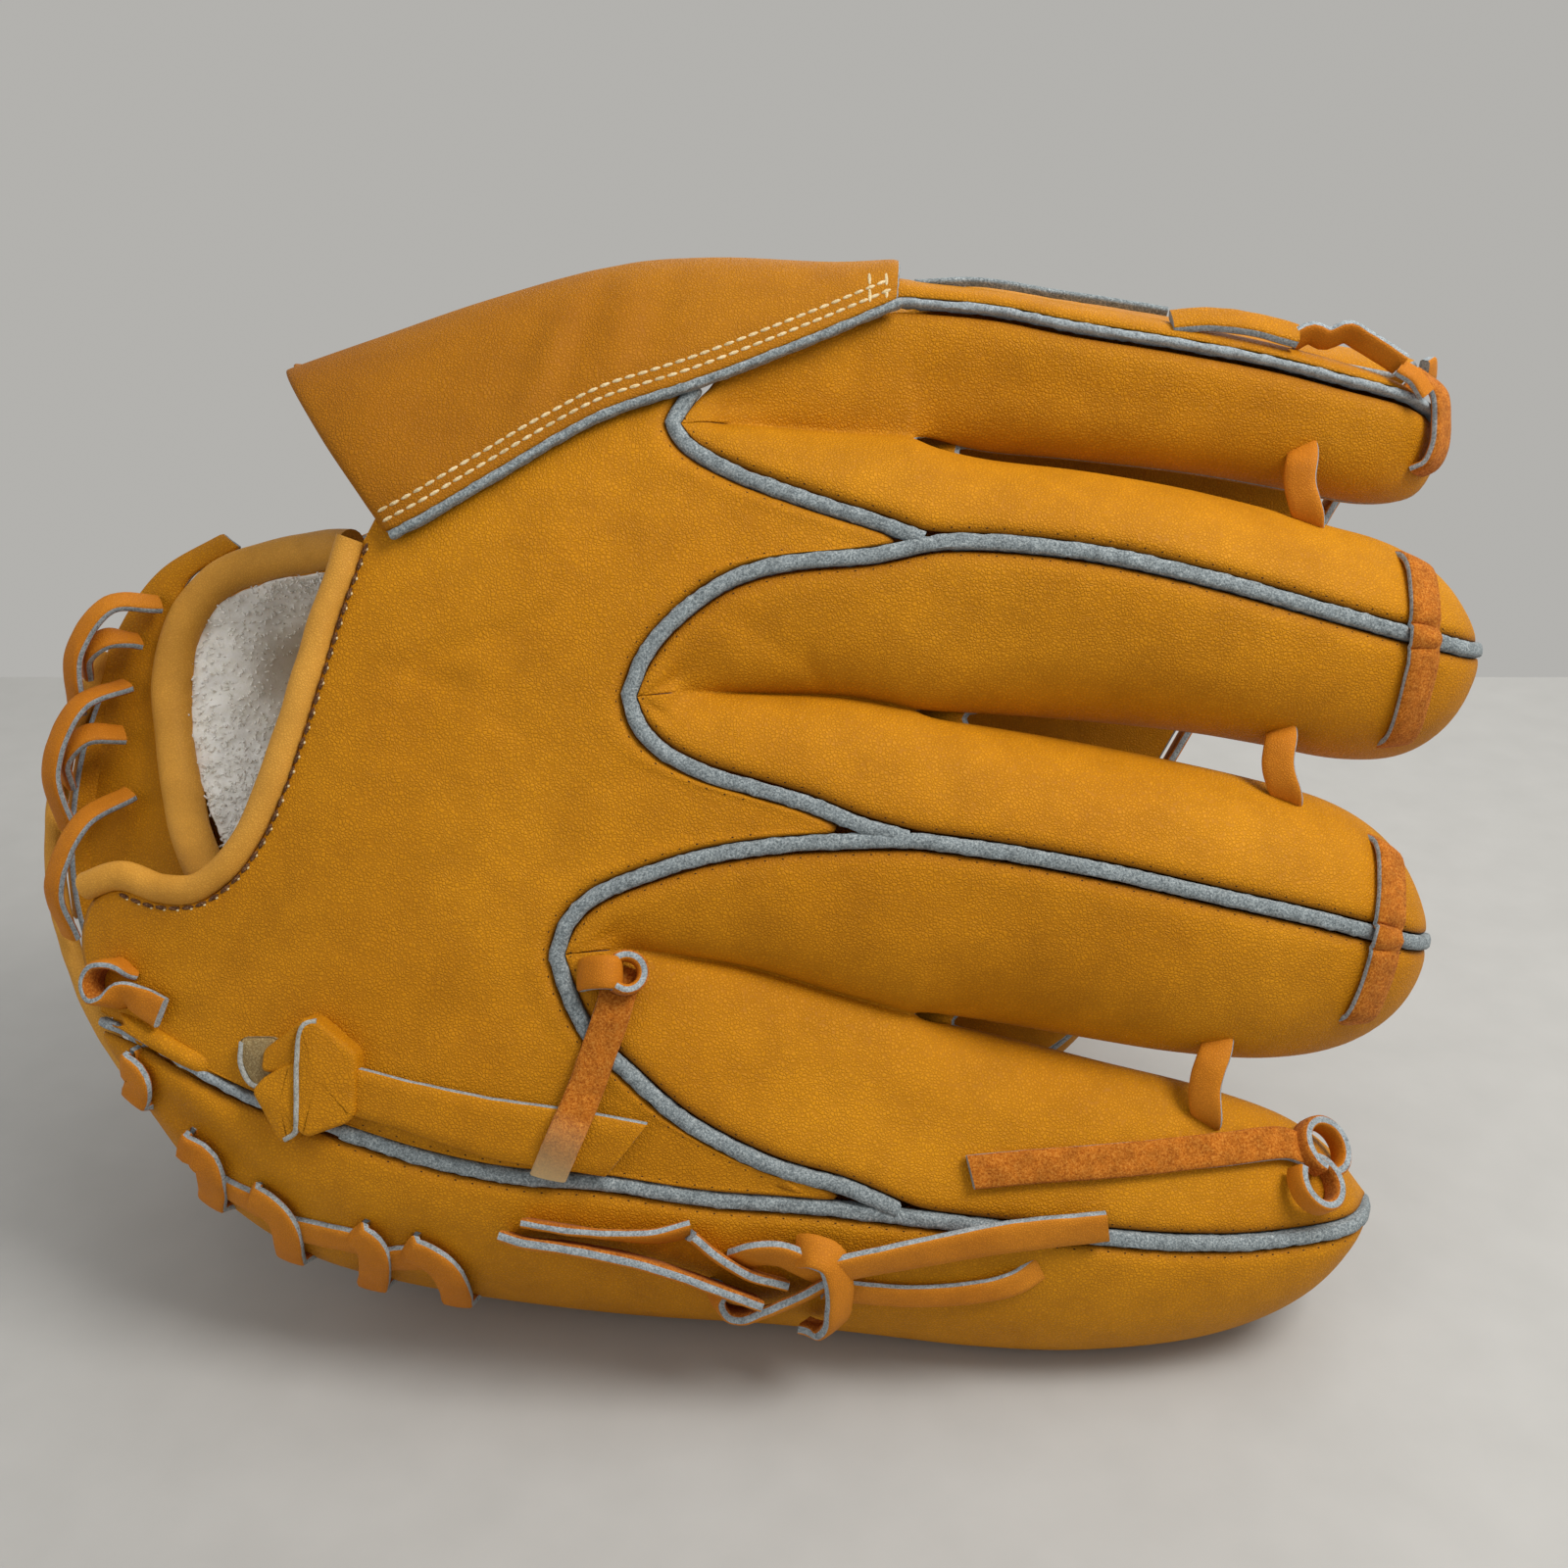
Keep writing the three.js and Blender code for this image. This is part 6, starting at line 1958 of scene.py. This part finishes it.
    def whip(self) -> None:
        """The lace that whips the leather together along the edge of the heel."""
        wraps = ((-143, 58, -140.5, 44), (-130.5, 40.5, -120.5, 22), (-115.5, 29.5, -103.5, 12),
                 (-93, 21.5, -88, 5), (-81.5, 18.5, -65.5, 1))
        runs = []
        for u0, v0, u1, v1 in wraps:
            spots = []
            for t in even(14):
                bow = 2.4 * math.sin(math.pi * min(t * 1.5, 1))
                spots.append((u0 + (u1 - u0) * t + bow * 0.8, v0 + (v1 - v0) * t + bow * 0.6))
            runs.append(self.wrap(spots, 2.1, True))
        for (u0, v0, u1, v1), (u2, v2, _, _) in zip(wraps[1:], wraps[2:]):
            start, end = Vector((u0 + (u1 - u0) * 0.4, v0 + (v1 - v0) * 0.4)), Vector((u2 + 1.2, v2 - 3))
            runs.append(self.wrap([start.lerp(end, k / 9).to_tuple() for k in range(10)], 0.6, False))
        band = Band(Section.lace(6.4, 1.9))
        found = [run for run in runs if run]
        band_piece("heel_whip_wraps", band, found, LACE_FINISHES, ["heel_whip_lace"])

    def wrap(self, spots: Sequence[tuple[float, float]], lift: float, around: bool) -> list[Stop]:
        """Lays one turn of the whipping lace on the leather as it is seen from the front.

        Args:
            spots: where it is seen, from its hole outwards.
            lift: how far out its middle lies, in millimetres.
            around: whether it goes on round the edge.

        Returns:
            Its stops.
        """
        hits = [hit for hit in (self.ground.seen(u, v) for u, v in spots) if hit]
        if len(hits) < 3:
            LOG.warning("a turn of the whipping lace finds no leather")
            return []
        first, last = hits[0], hits[-1]
        places = [first[0] - first[1] * self.hole_depth * MM,
                  *(place + facing * lift * MM for place, facing in hits)]
        faces = [first[1], *(facing for _, facing in hits)]
        if around:
            onward = FRAME.turned(Vector((0.2, 0.1, 1))).normalized()
            outward = (last[1] + FRAME.turned(Vector((0, -1, 0)))).normalized()
            places += [last[0] + outward * 1.8 * MM + onward * 3 * MM,
                       last[0] + onward * 9 * MM - outward * MM]
            faces += [outward, outward]
        else:
            places.append(last[0] - last[1] * self.hole_depth * MM)
            faces.append(last[1])
        course = Course([tuple(place / MM) for place in places])
        stops = []
        for t in even(30):
            spot = t * (len(faces) - 1)
            near = min(int(spot), len(faces) - 2)
            rise = faces[near].lerp(faces[near + 1], spot - near).normalized()
            stops.append(Stop(course.at(t) * MM, rise))
        return stops

    def web_mouth(self) -> None:
        """The lace that binds the mouth of the web."""
        course = Course(WEB_MOUTH).spaced(150)[9:139]
        places = [place + TOWARDS_TIPS * 2.4 for place in course]
        band = Band(Section.lace(5, 2.2))
        band_piece("web_mouth_binding", band, [straight(places, TOWARDS_TIPS)], LACE_FINISHES,
                   ["web_mouth_lace"])

    def web_top(self) -> None:
        """The cut edge, the flap and the wavy lace along the top of the web."""
        edge = [(27, 222.4, 24), (40, 222.8, 24), (57, 220.4, 24.5), (68, 218.6, 24), (79, 216.4, 23)]
        flap = [(78.5, 212.6, 17.6), (86, 213, 17.2), (96, 211.8, 17.4), (104, 209.8, 18)]
        wavy = [(103.5, 209.2, 19.5), (107, 210.8, 19), (110.5, 209.8, 19.5), (114.5, 211, 19),
                (118, 209.4, 19.5), (122, 207.2, 20), (126, 204.8, 20.5)]
        end = [(125.5, 204, 20), (128.5, 201.8, 19.5), (131, 198.6, 20)]
        tilt = Vector((0, 0.6, -0.8))
        for name, rows, section, roll, finishes in (
                ("web_top_cut_edge", edge, Section.tape(1.3, 1.6), 0, [Finish.WELT]),
                ("web_top_flap", flap, Section.lace(5.8, 2.2), 0, [Finish.SHELL, Finish.SHELL, Finish.CUT]),
                ("web_top_wavy_lace", wavy, Section.lace(5, 1.9), 90, LACE_FINISHES),
                ("web_top_lace_end", end, Section.lace(4.4, 1.8), 0, LACE_FINISHES)):
            course = Course(rows)
            stops = [Stop(stop.place, stop.rise, 1.0, roll)
                     for stop in straight(course.spaced(max(12, round(course.length))), tilt)]
            band_piece(name, Band(section), [stops], finishes, [])


@dataclass(frozen=True)
class Thread:
    """A row of stitches that lies on the leather."""

    name: str
    pitch: float
    length: float
    width: float
    finish: Finish
    sunk: float = 0.1

    def build(self, ground: Ground, lines: Sequence[Sequence[Vector]]) -> bpy.types.Object:
        """Sews along lines of the glove frame.

        Args:
            ground: what the stitches lie on.
            lines: the lines.

        Returns:
            The piece.
        """
        bm = bmesh.new()
        for line in lines:
            course = Course(line)
            count = int(course.length / self.pitch)
            for i in range(count):
                first = course.at(i / count)
                second = course.at(min(1.0, (i + self.length / self.pitch) / count))
                ends = [ground.under(first.x, first.y), ground.under(second.x, second.y)]
                if None in ends:
                    continue
                along = ends[1][0] - ends[0][0]
                if along.length > 2.5 * self.length * MM or along.length < 1e-6:
                    continue
                out = (ends[0][1] + ends[1][1]).normalized()
                middle = ends[0][0].lerp(ends[1][0], 0.5) - out * self.sunk * MM
                x = along.normalized()
                y = out.cross(x).normalized()
                z = x.cross(y)
                half = self.width * MM / 2
                scales = (along.length / 2 + half * 0.6, half, half * 0.8)
                turned = Matrix((x * scales[0], y * scales[1], z * scales[2])).transposed()
                matrix = Matrix.Translation(middle) @ turned.to_4x4()
                bmesh.ops.create_uvsphere(bm, u_segments=8, v_segments=6, radius=1.0, matrix=matrix)
        return keep_piece(self.name, bm, [self.finish], [])


@dataclass
class Sewing:
    """The visible stitches, and dark spots of painted shade for the stitch holes beside the welts."""

    ground: Ground
    shell: Shell

    def build(self) -> None:
        """Sews every row."""
        low = Course([row[0] for row in HOOD]).spaced(120)
        ends = [[Vector((u, v, 0)) for v in (215.5, 219, 223)] for u in (20.6, 17.2)]
        Thread("hood_stitches", 2.6, 1.9, 0.8, Finish.CREAM_THREAD, 0.05).build(
            self.ground, [beside(low, 2.4), beside(low, 4.5), *ends])
        edge = on_back(WRIST_EDGE[:9]).spaced(120)
        Thread("wrist_stitches_dark", 3.0, 2.2, 0.9, Finish.BROWN_THREAD, -0.05).build(
            self.ground, [beside(edge, 1.0)])
        Thread("wrist_stitches_pale", 3.0, 0.35, 0.55, Finish.CREAM_THREAD, 0.0).build(
            self.ground, [beside(edge, 1.35)[1:]])
        holes = []
        seams, crests = self.shell.seams, self.shell.crests
        for seam, above, below, tongue in (
                ("index_middle", "index", "middle", 4), ("middle_ring", "middle", "ring", -3),
                ("ring_little", "ring", "little", 0)):
            upper = Course(seams[seam]["upper"] + crests[above][1:28]).spaced(160)
            lower = Course(seams[seam]["lower"] + crests[below][1:28]).spaced(160)
            crotch = [p for p in lower if p.x < 26]
            holes += [beside([p for p in lower if p.x < tongue], -2.7), beside(crotch, 2.7)]
            if seam != "index_middle":
                start = {"middle_ring": 4, "ring_little": -3}[seam]
                holes += [beside(upper, -2.7), beside([p for p in upper if p.x < start], 2.7),
                          beside([p for p in upper if p.x > 28], 2.7)]
        little = Course(self.shell.heel_crest[12:] + crests["little"][1:28]).spaced(160)
        holes += [beside([p for p in little if p.x < -3], 2.7), beside([p for p in little if p.x > 28], 2.7),
                  beside(little, -2.7)]
        # Stitch holes: dark spots that paint the shade inside the holes beside the welts.
        Thread("welt_hole_shade_dots", 3.4, 0.6, 0.5, Finish.HOLE_SHADE, 0.16).build(self.ground, holes)


@dataclass(frozen=True)
class Studio:
    """The floor, the soft light and the camera at the photograph's angle."""

    lens: float = 36.0

    def build(self) -> None:
        """Sets up the studio."""
        bpy.context.scene.view_settings.view_transform = "Standard"
        self.floor()
        self.light()
        self.camera()

    @staticmethod
    def floor() -> None:
        """A plain pale floor."""
        bm = bmesh.new()
        bmesh.ops.create_grid(bm, x_segments=8, y_segments=8, size=1.6)
        bmesh.ops.translate(bm, verts=bm.verts, vec=(0, -1.29, -0.0002))
        mesh = bpy.data.meshes.new("floor")
        bm.to_mesh(mesh)
        bm.free()
        floor = bpy.data.objects.new("floor", mesh)
        bpy.context.scene.collection.objects.link(floor)
        material, kit, shader, place = new_material("pale_floor")
        speck = kit.add("ShaderNodeTexNoise", Vector=place, Scale=60.0, Detail=4.0)
        tone = kit.ramp(speck.outputs["Fac"], [(0.3, (0.44, 0.44, 0.43)), (0.7, (0.465, 0.465, 0.455))])
        kit.feed(shader, Base_Color=tone, Roughness=0.7)
        mesh.materials.append(material)

    @staticmethod
    def light() -> None:
        """A pale world and large soft lamps."""
        world = bpy.data.worlds.new("studio")
        bpy.context.scene.world = world
        world.use_nodes = True
        sky = world.node_tree.nodes["Background"]
        NodeSet(world.node_tree).feed(sky, Color=(0.9, 0.885, 0.845, 1), Strength=0.5)
        lamps = (
            ("key", (0.44, -0.2, 0.72), 4.6, 0.32, (1.0, 0.97, 0.92)),
            ("fill", (-0.7, -0.5, 0.45), 0.9, 0.6, (0.97, 0.98, 1.0)),
            ("top", (0.3, 0.05, 1.1), 2.2, 0.7, (1.0, 1.0, 1.0)),
            ("rear", (0.2, 1.0, 0.7), 2.5, 0.8, (1.0, 0.98, 0.95)),
        )
        for name, place, power, size, colour in lamps:
            data = bpy.data.lights.new(name, "AREA")
            data.energy = power
            data.size = size
            data.color = colour
            lamp = bpy.data.objects.new(name, data)
            lamp.location = place
            lamp.visible_camera = False
            lamp.rotation_euler = (Vector((0, 0, 0.1)) - Vector(place)).to_track_quat("-Z", "Y").to_euler()
            bpy.context.scene.collection.objects.link(lamp)

    def camera(self) -> None:
        """The camera, square to the leaning back of the glove."""
        data = bpy.data.cameras.new("camera")
        data.lens = self.lens
        data.sensor_width = 36.0
        data.clip_start = 0.01
        camera = bpy.data.objects.new("camera", data)
        camera.location = FRAME.upright(EYE)
        camera.rotation_euler = (math.radians(90) - FRAME.lean, 0, 0)
        bpy.context.scene.collection.objects.link(camera)
        bpy.context.scene.camera = camera


def main() -> None:
    """Builds the glove and its studio."""
    logging.basicConfig(level=logging.INFO, format="%(name)s: %(message)s")
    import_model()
    noise.seed_set(SEED)
    shell = Shell()
    shell.build()
    ground = Ground()
    welts = Welts(shell)
    welts.build()
    ground.add(*shell.pieces, *welts.pieces)
    wrist = Wrist(ground)
    wrist.build()
    ground.add(*wrist.pieces)
    Sewing(ground, shell).build()
    Lacing(ground).build()
    Studio().build()


if __name__ == "__main__":
    main()
